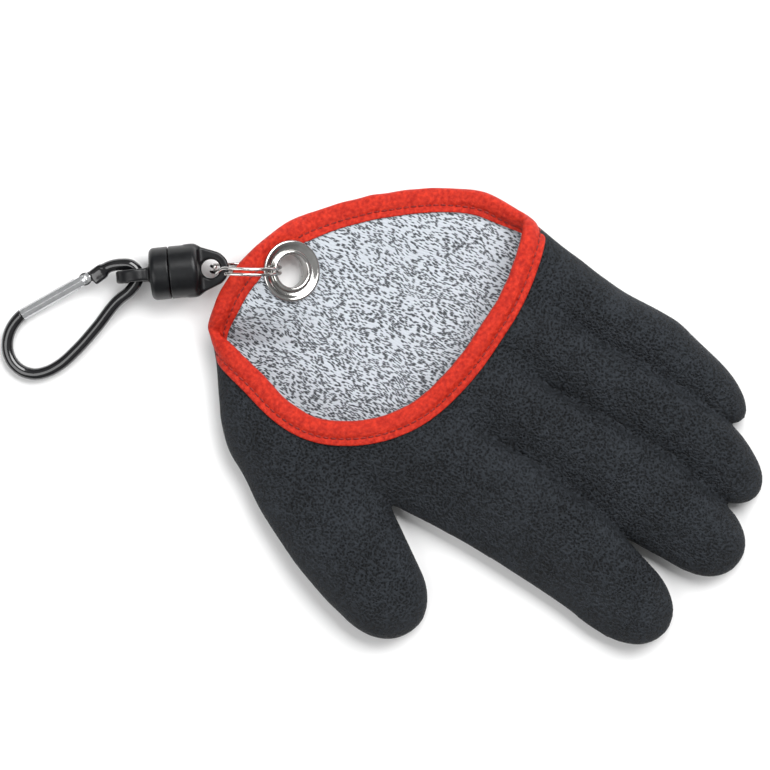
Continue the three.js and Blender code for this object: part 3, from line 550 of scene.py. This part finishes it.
def unlifted(x, y, z):
    # the height as if nothing were lifted; the room above the palm layer shrinks to fit
    lift = liftAt(x[:, :, 0], y[:, :, 0])[:, :, None] if x.ndim == 3 else liftAt(x, y)
    low, top = z - lift, glove["squeezeFrom"]
    return np.where(low > top, top + (low - top) / np.maximum(1 - glove["squeeze"] * lift, 0.3), low)


def evened(field):
    # turns a rough field into distances near its zero
    slope = np.sqrt(sum(g * g for g in np.gradient(field, glove["step"])))
    return np.clip(field / np.maximum(slope, 0.02), -15, 15)


def spanAt(rows, place):
    # left edge, right edge and height at a place along the rows
    return [along([row[0] for row in rows], [row[k] for row in rows], place) for k in (1, 2, 3)]


def fromWaist(z, waist, high, under):
    return np.where(z > waist, (z - waist) / (high - waist), (waist - z) / (waist * under))


def digit(part, place, across, z):
    form = glove["digitForm"]
    left, right, high = spanAt(part["stations"], place)
    middle = (across - (left + right) / 2) / np.maximum((right - left) / 2, 1)
    beyond = np.maximum(place - part["round"], 0) / (part["tip"] - part["round"])
    lean = part["lean"] * (1 - easy(1.4 * beyond))
    beyond = np.maximum(beyond, (part["root"] - place) / form["rootRun"])
    high = high * (1 - form["tilt"] * lean * np.clip(middle, -1, 1))
    up = fromWaist(z, high * part["belly"], high, form["under"])
    steep = form["side"] - form["lean"] * lean * np.tanh(form["turn"] * middle)
    return np.abs(middle)**steep + np.abs(up)**form["top"] + beyond**part["fullness"] - 1


def palmField(x, y, z):
    form = glove["palmForm"]
    left, right, high = spanAt(glove["palm"], y)
    up = fromWaist(z, high * form["waist"], high, form["under"])
    sideways = np.abs(x - (left + right) / 2) / ((right - left) / 2)
    start, end = glove["palmEnd"]
    beyond = np.maximum(y - start, 0) / (end - start)
    return sideways**form["side"] + np.abs(up)**form["top"] + beyond**form["top"] - 1


def handField(x, y, z):
    flat = unlifted(x, y, z)
    digits = None
    for name in ("index", "middle", "ring", "little"):
        field = evened(digit(glove[name], y, x, z))
        digits = field if digits is None else melt(digits, field, glove["web"])
    hand = melt(evened(palmField(x, y, flat)), digits, glove["knuckles"])
    part = glove["thumb"]
    (px, py), (wx, wy) = part["from"], part["way"]
    place, across = (x - px) * wx + (y - py) * wy, (x - px) * wy - (y - py) * wx
    least, more, start, over = glove["thumbMelt"]
    hand = melt(hand, evened(digit(part, place, across, flat)), least + more * easy((start - y) / over))
    return np.maximum(hand, 0.1 - flat)


def mouthAt(x, y, z):
    # above 0 where the opening takes the cloth away
    start, over = glove["layers"]
    high = easy((unlifted(x, y, z) - start) / over)
    return outsideOf(cuffEdge, x, y) * (1 - high) + outsideOf(backEdge, x, y) * high


tilted = Matrix.Rotation(radians(eyelet["tilt"]), 4, Vector((outward[1], -outward[0], 0)))
grommetPlace = Matrix.Translation((*eyelet["spot"], eyelet["height"])) @ tilted


def eased(verts, faces, rounds, share=0.5):
    # smooths a net of quads a little
    faces = np.asarray(faces)
    for _ in range(rounds):
        total, count = np.zeros_like(verts), np.zeros(len(verts))
        for k in range(4):
            for other in (faces[:, (k + 1) % 4], faces[:, (k + 3) % 4]):
                np.add.at(total, faces[:, k], verts[other])
                np.add.at(count, faces[:, k], 1)
        verts = verts + share * (total / np.maximum(count, 1)[:, None] - verts)
    return verts


def normalsOf(verts, faces):
    # which way the skin faces at each corner
    faces = np.asarray(faces)
    cross = np.cross(verts[faces[:, 2]] - verts[faces[:, 0]], verts[faces[:, 3]] - verts[faces[:, 1]])
    normals = np.zeros_like(verts)
    for k in range(4):
        np.add.at(normals, faces[:, k], cross)
    return normals / np.maximum(np.linalg.norm(normals, axis=1), 1e-9)[:, None]


def opened(verts, faces, inset):
    # takes away the opening and the grommet's hole, and keeps the one large sheet
    faces = np.asarray(faces)
    middle = verts[faces].mean(axis=1)
    local = placed(middle, grommetPlace.inverted())
    near = np.hypot(local[:, 0], local[:, 1]) < eyelet["hole"] + eyelet["clear"]
    hole = near & (np.abs(local[:, 2]) < eyelet["depth"])
    keep = faces[(mouthAt(*middle.T) < -inset) & ~hole]
    label = np.arange(len(verts))
    while True:
        lowest = label[keep].min(axis=1)
        before = label.copy()
        for k in range(4):
            np.minimum.at(label, keep[:, k], lowest)
        label = label[label]
        if (label == before).all():
            break
    marks, sizes = np.unique(label[keep[:, 0]], return_counts=True)
    keep = keep[label[keep[:, 0]] == marks[sizes.argmax()]]
    used = np.unique(keep)
    number = np.full(len(verts), -1)
    number[used] = np.arange(len(used))
    return verts[used], number[keep]


# unevenness of the coated cloth: how much, then size and shift of the noise along X, Y and Z
creases = [(0.75, (34, 46, 30), (0, 0, 5)), (0.28, (9, 30, 20), (7, 0, 0))]


def creased(verts, faces):
    # broad soft unevenness and a few draws in the cloth, kept off the floor side
    shift = []
    normals = normalsOf(verts, faces)
    for p, n in zip(verts, normals):
        uneven = sum(much * noise.noise(Vector([a / b + c for a, b, c in zip(p, size, move)]))
                     for much, size, move in creases)
        shift.append(uneven * min(max(n[2] + 0.3, 0), 1))
    return verts + normals * np.array(shift)[:, None]


def sheetOf(thickness):
    return "SOLIDIFY", {"thickness": thickness * mm, "offset": -1, "use_rim": True}


print("shaping the hand")
grid, corner = gridOf((-99, -104, 0), (95, 158, 33), glove["step"])
hand = handField(*grid)
skin, quads = skinOf(hand, corner, glove["step"])
skin = creased(eased(skin, quads, 2, 0.45), quads)
skin, quads = opened(skin, quads, glove["foldBack"])
skin[:, 2] = np.maximum(skin[:, 2], 0.05)
piece("latexShell", skin, quads, latex, "root", "latex", "latex_shell", [sheetOf(glove["coat"])])


def belowCoat(verts):
    # lays corners close below the coating, and deeper in the fingers, where its creases are sharp
    tree = BVHTree.FromPolygons(skin.tolist(), quads.tolist())
    more, start, over = glove["fingerDepth"]
    depth = glove["coat"] + glove["fit"] + more * easy((verts[:, 1] - start) / over)
    found = [tree.find_nearest(Vector(p)) for p in verts]
    return np.array([spot - normal * d for (spot, normal, _, _), d in zip(found, depth)])


lining, liningQuads = skinOf(hand[::2, ::2, ::2] + glove["coat"] + glove["fit"], corner, 2 * glove["step"])
lining, liningQuads = opened(eased(lining, liningQuads, 1, 0.45), liningQuads,
                             glove["foldBack"] + glove["liningBack"])
piece("knitLiner", belowCoat(lining), liningQuads, knitted, "root", "knit", "knit_liner",
      [sheetOf(glove["knit"])])


# the binding tape, folded over the edge of the opening

def longestEdge(faces):
    # the longest closed line of corners round the sheet's openings
    seen = dict.fromkeys((a, b) for face in faces.tolist() for a, b in zip(face, face[1:] + face[:1]))
    after = {b: a for a, b in seen if (b, a) not in seen}
    loops = []
    while after:
        at, line = next(iter(after)), []
        while at in after:
            line.append(at)
            at = after.pop(at)
        loops.append(line)
    return max(loops, key=len)


def resampled(points, spacing):
    # a closed line of points at even steps
    closed = np.vstack([points, points[:1]])
    span = lengthsOf(closed)
    return pointsAt(np.linspace(0, span[-1], int(span[-1] / spacing), endpoint=False), span, closed)


def blurred(points, width):
    # smooths a closed line of points
    reach = int(3 * width)
    weights = np.exp(-0.5 * (np.arange(-reach, reach + 1) / width)**2)
    weights /= weights.sum()
    return sum(w * np.roll(points, k, axis=0) for w, k in zip(weights, range(-reach, reach + 1)))


# rows are the distances of the tape's rows of corners from the edge
binding = dict(rows=[0.0, 0.9, 2.0, 3.2, 4.3, 5.1, 5.7, 6.3, 7.4, 8.8], spacing=1.1, stitchAt=5.7,
               stitch=2.3, gap=0.9, threadWide=0.42, arch=(-0.25, 0.06, 0.12, 0.06, -0.25), swell=0.5,
               pucker=0.36, puckerWide=0.9, air=0.25, thick=0.6, fold=0.8, blur=3.0,
               fineStep=0.5, stride=0.9, probe=3.5)


def sheetWalk(tree, start, inward, distances):
    # walks over the sheet from its edge and gives the place and normal at each distance
    places, normals = [], []
    at, way, gone = Vector(start), Vector(inward).normalized(), 0.0
    for distance in distances:
        while distance - gone > 1e-6:
            stride = min(binding["stride"], distance - gone)
            spot, normal, _, _ = tree.find_nearest(at + way * stride)
            way = way - normal * way.dot(normal)
            way.normalize()
            at = spot
            gone += stride
        spot, normal, _, _ = tree.find_nearest(at)
        places.append(spot)
        normals.append(normal)
    return np.array(places), np.array(normals)


def bindingRows():
    # the cloth's places and normals under each row of the tape
    tree = BVHTree.FromPolygons(skin.tolist(), quads.tolist())
    fine = binding["fineStep"]
    rim = blurred(resampled(skin[longestEdge(quads)], fine), binding["blur"] / fine)
    rim = resampled(rim, binding["spacing"])
    ahead = np.roll(rim, -1, axis=0) - np.roll(rim, 1, axis=0)
    places, normals = [], []
    for point, way in zip(rim, ahead):
        _, normal, _, _ = tree.find_nearest(Vector(point))
        inward = Vector(way).normalized().cross(normal)
        sides = [(tree.find_nearest(Vector(point) + inward * sign * binding["probe"])[3], sign)
                 for sign in (1, -1)]
        p, n = sheetWalk(tree, point, inward * min(sides)[1], binding["rows"])
        places.append(p)
        normals.append(n)
    places, normals = np.array(places), np.array(normals)
    for k in range(len(binding["rows"])):
        places[:, k] = blurred(places[:, k], 2.0 + 0.22 * k)
        normals[:, k] = blurred(normals[:, k], binding["blur"])
    normals /= np.linalg.norm(normals, axis=2)[:, :, None]
    return places, normals


print("folding the tape")
rowPlaces, rowNormals = bindingRows()
columns = len(rowPlaces)


def nearGrommet(points):
    # 1 under the grommet's flange, 0 away from it
    local = placed(points, grommetPlace.inverted())
    return 1 - easy((np.hypot(local[:, 0], local[:, 1]) - eyelet["flange"]) / 2.5)


def tapeSurface(side):
    # the tape's outer face on one side of the cloth: 1 on the latex, -1 on the knit
    phase = np.arange(columns) * binding["spacing"] / (binding["stitch"] + binding["gap"]) * 2 * pi
    rows = []
    for k, distance in enumerate(binding["rows"]):
        base, normal = rowPlaces[:, k], rowNormals[:, k]
        swell = binding["swell"] * sin(min(distance / binding["stitchAt"], 1) * pi)
        near = exp(-((distance - binding["stitchAt"]) / binding["puckerWide"])**2)
        offset = glove["tape"] + binding["air"] + swell - binding["pucker"] * near * (1 + 0.5 * np.sin(phase))
        if side < 0:
            offset = stack + offset
            offset -= (offset - stack - binding["air"]) * nearGrommet(base - normal * stack)
        rows.append(base + side * normal * offset[:, None])
    return rows


def tapeShape():
    top, bottom = tapeSurface(1), tapeSurface(-1)
    middle, half = (top[0] + bottom[0]) / 2, (top[0] - bottom[0]) / 2
    away = rowPlaces[:, 0] - rowPlaces[:, 2]
    away /= np.linalg.norm(away, axis=1)[:, None]
    out = away * np.linalg.norm(half, axis=1)[:, None] * binding["fold"]
    fold = [middle + half * cos(a) + out * sin(a) for a in np.linspace(0, pi, 8)[1:-1]]
    rows = top[::-1] + fold + bottom
    verts, faces = np.concatenate(rows), tubeFaces(len(rows), columns)
    outer = np.cross(verts[faces[0][1]] - verts[faces[0][0]], verts[faces[0][3]] - verts[faces[0][0]])
    if outer.dot(rowNormals[0, -1]) < 0:
        faces = [face[::-1] for face in faces]
    return verts, faces


def stitchShapes():
    # one short thread after another, on both faces of the tape
    shapes = []
    pitch = binding["stitch"] + binding["gap"]
    k = binding["rows"].index(binding["stitchAt"])
    for side in (1, -1):
        row = tapeSurface(side)[k]
        line = np.vstack([row, row[:1]])
        normal = np.vstack([rowNormals[:, k], rowNormals[:1, k]]) * side
        keep, span = nearGrommet(line), lengthsOf(line)
        for start in np.arange(0, span[-1] - pitch, pitch):
            at = np.linspace(start, start + binding["stitch"], len(binding["arch"]))
            if np.interp(at[2], span, keep) > 0.05 and side < 0:
                continue
            path = pointsAt(at, span, line) + pointsAt(at, span, normal) * np.array(binding["arch"])[:, None]
            shapes.append(sweep(path, binding["threadWide"], 6))
    return together(shapes)


piece("bindingTape", *tapeShape(), taped, "root", "tape", "edge_binding",
      [sheetOf(binding["thick"]), ("SUBSURF", {"levels": 1})])
piece("tapeStitches", *stitchShapes(), thread, "root", "tape")


# the grommet and the split ring

print("setting the grommet and its ring")


# rims and bends run in from the flange's edge or out from the hole, with a height in sheet thicknesses
grommet = dict(washerRim=[(0.9, 0), (0.3, 0.2143), (0, 1), (0.05, 1.6), (0.35, 2.1), (0.8, 2.25), (1.3, 2.15),
                          (1.9, 1.85), (2.6, 1.4), (3.4, 1.1)],
               barrelBend=[(0, 0.6), (0.15, 1.2), (0.8, 1.6)],
               barrelRim=[(2, 1.55), (1, 1.1), (0.6, 0.5), (0.6, 0)],
               lip=[(0.8, 0), (1.55, 0.02), (1.85, 0.25), (1.85, 0.6), (1.5, 0.92), (0.9, 1.05), (0.45, 1.0),
                    (0.1, 0.75), (0, 0.35)])  # the lip's heights are millimetres


def grommetProfiles():
    # the outlines of the washer on the palm side and of the eyelet through it: radius, height
    foot, sheet, hole, wide = stack / 2 + glove["fit"] + 0.05, eyelet["sheet"], eyelet["hole"], eyelet["flange"]
    outer = hole + eyelet["wall"]
    inner, top = outer + glove["fit"], foot + sheet + glove["fit"]
    washer = [(inner, foot), *[(wide - a, foot + b * sheet) for a, b in grommet["washerRim"]],
              (inner + 0.8, foot + sheet), (inner, foot + sheet)]
    barrel = [*[(hole + a, -foot - b * sheet) for a, b in grommet["barrelBend"]],
              *[(wide - a, -foot - b * sheet) for a, b in grommet["barrelRim"]], (outer, -foot)]
    return washer, barrel + [(hole + a, top + b) for a, b in grommet["lip"]]


def rounded(profile):
    # a closed profile with twice the points and softer corners
    points = np.array(profile, float)
    after = np.roll(points, -1, axis=0)
    return np.stack([0.75 * points + 0.25 * after, 0.25 * points + 0.75 * after], axis=1).reshape(-1, 2)


for name, profile, cadNode in zip(("grommetWasher", "grommetEyelet"), grommetProfiles(),
                                  ("grommet_washer", "grommet_eyelet")):
    verts, faces = lathe(rounded(profile), 96)
    piece(name, placed(verts, grommetPlace), [face[::-1] for face in faces], nickel, "root", "nickel", cadNode,
          sharp=50)

# pitch is from coil to coil, gap and start are angles
splitRing = dict(radius=14.5, wire=1.3, pitch=2.3, lean=6, gap=0.2, start=0.75, steps=200)
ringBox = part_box("split_ring")


def ringPath():
    # two coils that cross over once, leaning as the ring does in the eyelet
    gap, radius = splitRing["gap"], splitRing["radius"]
    turn = np.linspace(gap, 4 * pi - gap, splitRing["steps"])
    cross = easy((turn - 2 * pi + gap) / (2 * gap)) - 0.5
    local = np.stack([radius * np.cos(turn + splitRing["start"]), radius * np.sin(turn + splitRing["start"]),
                      cross * splitRing["pitch"]], axis=1)
    standing = Matrix(((outward[0], 0, outward[1]), (outward[1], 0, -outward[0]), (0, 1, 0))).to_4x4()
    leaning = Matrix.Rotation(-radians(splitRing["lean"]), 4, Vector((*outward, 0)))
    points = placed(local, leaning @ standing)
    low, high = np.array(ringBox[0]) / mm, np.array(ringBox[1]) / mm
    return points + (low + high) / 2 - (points.min(axis=0) + points.max(axis=0)) / 2


piece("splitRing", *sweep(ringPath(), splitRing["wire"] / 2, 14), nickel, "root", "nickel", "split_ring")


# the magnetic release: its axis is X, from the ring side's shoulder to the clip side's

print("building the magnetic release")
release = dict(radius=11, heading=-50.6, ringCap=12, clipCap=8, seam=0.35, edge=2.2, faceEdge=0.35,
               faceDepth=4, magnet=7.7, magnetDepth=4.5, play=0.3, plate=5.2, plateEdge=0.9,
               plateIn=4, lugIn=2.5, lugMelt=2.6, rim=3.5, flare=0.6, ringHole=4, ringReach=5,
               ringRoot=10.2, clipHole=4.6, clipReach=6.4, clipRoot=4.2)
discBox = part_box("magnet_disc_ring_side")
discMiddle = (np.array(discBox[0]) + np.array(discBox[1])) / 2 / mm
clipAxis = np.array((cos(radians(release["heading"])), sin(radians(release["heading"]))))
shoulder = discMiddle[:2] - (release["ringCap"] - release["magnetDepth"] / 2) * clipAxis
clipPlace = (Matrix.Translation((*shoulder, release["radius"]))
             @ Matrix.Rotation(radians(release["heading"]), 4, "Z"))


def drum(x, r, ends, soft):
    # a turned block between two faces, its edges rounded
    low, high = min(ends), max(ends)
    return softened(soft, np.abs(x - (low + high) / 2) - (high - low) / 2, r - release["radius"])


def taper(x, y, start, startRadius, end, endRadius):
    # the flat outline of two circles and the lines that touch both
    way, length = np.sign(end - start), abs(end - start)
    b = (startRadius - endRadius) / length
    a = sqrt(1 - b * b)
    u, v = (x - start) * way, np.abs(y)
    k = a * u - b * v
    line = v * a + u * b - startRadius
    return np.where(k < 0, np.hypot(u, v) - startRadius,
                    np.where(k > a * length, np.hypot(u - length, v) - endRadius, line))


def capShape(side, face, back, upright):
    # a cap with its magnet's pocket in the face and a lug with an eye at the back
    hole, reach, root = (release[side + part] for part in ("Hole", "Reach", "Root"))
    away = 1 if back > face else -1
    eye, end = back + away * reach, hole + release["rim"]

    def shape(x, y, z):
        r = np.hypot(y, z)
        body = np.minimum(drum(x, r, (face, back), release["edge"]),
                          drum(x, r, (face, face + away * release["faceDepth"]), release["faceEdge"]))
        flat, thick = (z, y) if upright else (y, z)
        thick = np.abs(thick) - release["plate"] / 2
        outline = taper(x, flat, back - away * release["lugIn"], root, eye, end)
        outline = np.maximum((back - away * release["plateIn"] - x) * away, outline)
        lug = softened(release["plateEdge"], outline, thick)
        flare = release["flare"] * easy((thick + release["plateEdge"]) / release["plateEdge"])
        bore = hole - np.hypot(x - eye, flat) + flare
        pocket = np.maximum(r - release["magnet"], np.abs(x - face) - release["magnetDepth"]) - release["play"]
        return np.maximum(np.maximum(melt(body, lug, release["lugMelt"]), bore), -pocket)

    low = (min(face, back, eye - end), -release["radius"], -release["radius"])
    high = (max(face, back, eye + end), release["radius"], release["radius"])
    verts, faces = carve(shape, low, high, 0.4)
    return placed(verts, clipPlace), faces


clipFace = release["ringCap"] + release["seam"]
clipEnd = clipFace + release["clipCap"]
piece("ringSideCap", *capShape("ring", release["ringCap"], 0, False), moulded, "root", "moulding",
      "magnet_cap_ring_side")
piece("clipSideCap", *capShape("clip", clipFace, clipEnd, True), moulded, "clip", "moulding",
      "magnet_cap_clip_side")


def magnetShape(face, way):
    back, radius, soft = face + release["magnetDepth"] * way, release["magnet"], release["play"]
    verts, faces = lathe([(0.01, face), (radius - soft, face), (radius, face + soft * way), (radius, back),
                          (0.01, back)], 64)
    return placed(verts[:, [2, 1, 0]], clipPlace), faces if way < 0 else [f[::-1] for f in faces]


piece("ringSideMagnet", *magnetShape(release["ringCap"], -1), magnetSteel, "root", "magnet",
      "magnet_disc_ring_side", sharp=40)
piece("clipSideMagnet", *magnetShape(clipFace, 1), magnetSteel, "release", "magnet",
      "magnet_disc_clip_side", sharp=40)


# the carabiner: its own frame has +X to the wide end and the gate on the -Y side; bend, pivot and nose are
# shares of its reach and width, from the narrow end

print("bending the carabiner")
carabiner = dict(reach=66, width=26.3, heading=-19.3, bar=2.5, gate=2.35, rivet=1.0, tongue=1.9,
                 heel=2.9, clear=0.35, play=0.3, pivot=(0.302, 0.4), nose=(0.765, 0.555),
                 bendRoom=0.5, grip=(0.02, -0.06), flareLow=(11.3, -11.8), flareHigh=(17.4, -5.6),
                 flareEdge=0.9, flareMelt=1.6, noseHalf=7, blade=2.7, slotEnd=4.3, barNet=0.42,
                 gateNet=0.3,
                 bend=[(0.720, 0.550), (0.775, 0.555), (0.826, 0.532), (0.882, 0.478), (0.942, 0.365),
                       (0.985, 0.205), (1.000, 0.030), (0.982, -0.165), (0.930, -0.325), (0.860, -0.410),
                       (0.770, -0.448), (0.620, -0.420), (0.432, -0.327), (0.210, -0.190), (0.110, -0.180),
                       (0.045, -0.128), (0.006, -0.020), (0.010, 0.120), (0.065, 0.250), (0.130, 0.325),
                       (0.185, 0.345), (0.235, 0.352)])


def carabinerFrame():
    # where the bar rests in the release's eye, with its wide end on the floor
    play = release["clipHole"] - carabiner["bar"] - carabiner["clear"] - carabiner["bendRoom"]
    height = release["radius"] - 0.8 * play
    tilt = asin((height - carabiner["bar"]) / carabiner["reach"])
    eye = clipPlace @ Vector((clipEnd + release["clipReach"] - 0.6 * play, 0, height - release["radius"]))
    ahead, side = carabiner["grip"]
    return (Matrix.Translation(eye) @ Matrix.Rotation(radians(carabiner["heading"]), 4, "Z")
            @ Matrix.Rotation(tilt, 4, "Y")
            @ Matrix.Translation((-ahead * carabiner["reach"], side * carabiner["width"], 0)))


carabinerPlace = carabinerFrame()


def onCarabiner(ahead, side):
    return np.array((ahead * carabiner["reach"], -side * carabiner["width"], 0.0))


pivot, nose = onCarabiner(*carabiner["pivot"]), onCarabiner(*carabiner["nose"])
gateReach = float(np.linalg.norm(nose - pivot))
gateWay = (nose - pivot) / gateReach


def fromPivot(x, y):
    # along the gate, and aside from it
    dx, dy = x - pivot[0], y - pivot[1]
    return dx * gateWay[0] + dy * gateWay[1], -dx * gateWay[1] + dy * gateWay[0]


def block(x, y, z, low, high, soft):
    # a box with rounded edges
    return softened(soft, *[np.abs(p - (a + b) / 2) - (b - a) / 2 for p, a, b in zip((x, y, z), low, high)])


barLine = splined([onCarabiner(*p)[:2] for p in carabiner["bend"]], 8)


def barShape(x, y, z):
    # the bent wire with a flat neck at the gate's heel, a forked end there and a face for the gate's nose
    u, v = fromPivot(x, y)
    fromPin, half, blade = np.hypot(u, v), carabiner["gate"], carabiner["tongue"] / 2
    wire = np.hypot(lineDistance(barLine, x, y), z) - carabiner["bar"]
    neck = block(x, y, z, (*carabiner["flareLow"], -half), (*carabiner["flareHigh"], half), carabiner["flareEdge"])
    solid = melt(wire, neck, carabiner["flareMelt"])
    heelCut = np.where(u < gateReach / 2, carabiner["heel"] + carabiner["clear"] - fromPin, -9.0)
    atNose = (u > gateReach / 2) & (np.abs(v) < carabiner["noseHalf"])
    noseCut = np.where(atNose, gateReach + carabiner["clear"] - fromPin, -9.0)
    solid = np.maximum(np.maximum(solid, heelCut), noseCut)
    tongue = np.minimum(block(u, v, z, (-6, -2, -blade), (0, 2, blade), 0.1),
                        np.maximum(fromPin - carabiner["blade"], np.abs(z) - blade))
    return np.minimum(solid, np.maximum(tongue, carabiner["rivet"] + carabiner["play"] - fromPin))


def gateShape(x, y, z):
    # an eight-sided rod between pin and nose, slotted for the bar's tongue
    u, v = fromPivot(x, y)
    fromPin = np.hypot(u, v)
    facets = [np.abs(v * cos(a) + z * sin(a)) for a in np.radians([22.5, 67.5, 112.5, 157.5])]
    rod = np.maximum(np.maximum.reduce(facets) - carabiner["gate"], fromPin - gateReach)
    rod = np.maximum(rod, np.where(u < 0, fromPin - carabiner["heel"], -9.0))
    slot = np.maximum(np.abs(z) - carabiner["tongue"] / 2 - carabiner["play"], u - carabiner["slotEnd"])
    return np.maximum(np.maximum(rod, -slot), carabiner["rivet"] + carabiner["play"] - fromPin)


def carved(shape, low, high, half, net):
    verts, faces = carve(shape, (*low, -half), (*high, half), net)
    return placed(verts, carabinerPlace), faces


wide, deep = carabiner["reach"] + 3, carabiner["width"] * 0.56 + 3
piece("carabinerBar", *carved(barShape, (-3, -deep - 2), (wide, deep), 2.6, carabiner["barNet"]), glossBlack,
      "clip", "black_bar", "carabiner_body")
gateLow, gateHigh = np.minimum(pivot, nose)[:2] - 3.2, np.maximum(pivot, nose)[:2] + 3.2
piece("carabinerGate", *carved(gateShape, gateLow, gateHigh, 2.6, carabiner["gateNet"]), silver, "gate",
      "silver_gate", "carabiner_gate", sharp=18)
head = [(1.0, -0.02), (1.25, -0.02), (1.25, 0.05), (0.8, 0.3), (0.01, 0.35)]  # the rivet's, past the gate
rivetProfile = ([(r, -carabiner["gate"] - z) for r, z in head[::-1]]
                + [(r, carabiner["gate"] + z) for r, z in head])
rivetVerts, rivetFaces = lathe(rivetProfile, 32)
piece("gateRivet", placed(rivetVerts + pivot, carabinerPlace), [f[::-1] for f in rivetFaces], silver, "clip",
      "silver_gate", "gate_rivet", sharp=50)


# floor, camera and light; the picture is 323.4 mm across, and its right is (-0.56, 0.83) on the floor

view = dict(across=323.4, centre=(1.7, -8.2), right=(-0.5592, 0.8290), away=1500, above=8, floor=3000,
            sensor=36)
# each softbox stands up and right of the middle as the picture shows them, and above the floor, in metres
studio = {"horizon": 0.08, "zenith": 0.30,
          "key": {"up": 0.7, "right": 0.45, "high": 1.1, "size": (1.2, 0.9), "power": 27.0},
          "fill": {"up": -0.35, "right": -0.75, "high": 1.1, "size": (1.0, 1.0), "power": 9.0}}


def stageFloor():
    mesh = bpy.data.meshes.new("floor")
    half = view["floor"] * mm
    mesh.from_pydata([(-half, -half, 0), (half, -half, 0), (half, half, 0), (-half, half, 0)], [], [(0, 1, 2, 3)])
    made, tree, put, place = materialOf("pale floor", 0.7, {"Specular IOR Level": 0.1})
    tone = grouped(tree, softTone, {"Position": place, "Size": 300.0})
    feed(put["Base Color"], blend(tree, tone["Tone"], (0.90, 0.90, 0.90, 1), (0.93, 0.93, 0.93, 1)))
    mesh.materials.append(made)
    shown("floor", mesh)


def studioCamera():
    # looks straight down, turned as the photo is
    data = bpy.data.cameras.new("camera")
    data.sensor_width = view["sensor"]
    data.lens = view["sensor"] * view["away"] / view["across"]
    data.clip_start, data.clip_end = 0.05, 20
    obj = shown("camera", data)
    right = Vector((*view["right"], 0)).normalized()
    up = Vector((0, 0, 1)).cross(right)
    turn = Matrix((right, up, Vector((0, 0, 1)))).transposed().to_4x4()
    spot = Vector((*view["centre"], view["away"] + view["above"])) * mm
    obj.matrix_world = Matrix.Translation(spot) @ turn
    bpy.context.scene.camera = obj
    return right, up


def softbox(name, right, up):
    box = studio[name]
    data = bpy.data.lights.new(name, "AREA")
    data.shape, data.energy = "RECTANGLE", box["power"]
    data.size, data.size_y = box["size"]
    obj = shown(name, data)
    obj.location = box["up"] * up + box["right"] * right + Vector((0, 0, box["high"]))
    obj.rotation_euler = (-obj.location).to_track_quat("-Z", "Y").to_euler()


def studioWorld():
    # soft light from above; the camera itself sees plain white
    world = bpy.data.worlds.new("studio")
    world.use_nodes = True
    tree = world.node_tree
    place = tree.nodes.new("ShaderNodeTexCoord").outputs["Generated"]
    height = node(tree, "SeparateXYZ", {0: place}).outputs[2]
    shade = node(tree, "MapRange", {"Value": height, "From Min": 0.05, "From Max": 0.85,
                                    "To Min": studio["horizon"], "To Max": studio["zenith"]}).outputs["Result"]
    seen = tree.nodes.new("ShaderNodeLightPath").outputs["Is Camera Ray"]
    feed(tree.nodes["Background"].inputs["Strength"], maths(tree, "MAXIMUM", shade, seen))
    tree.nodes["Background"].inputs["Color"].default_value = (1, 1, 1, 1)
    bpy.context.scene.world = world


print("setting the stage")
stageFloor()
right, up = studioCamera()
studioWorld()
softbox("key", right, up)
softbox("fill", right, up)
bpy.context.scene.view_settings.view_transform = "Standard"

print("all pieces made")
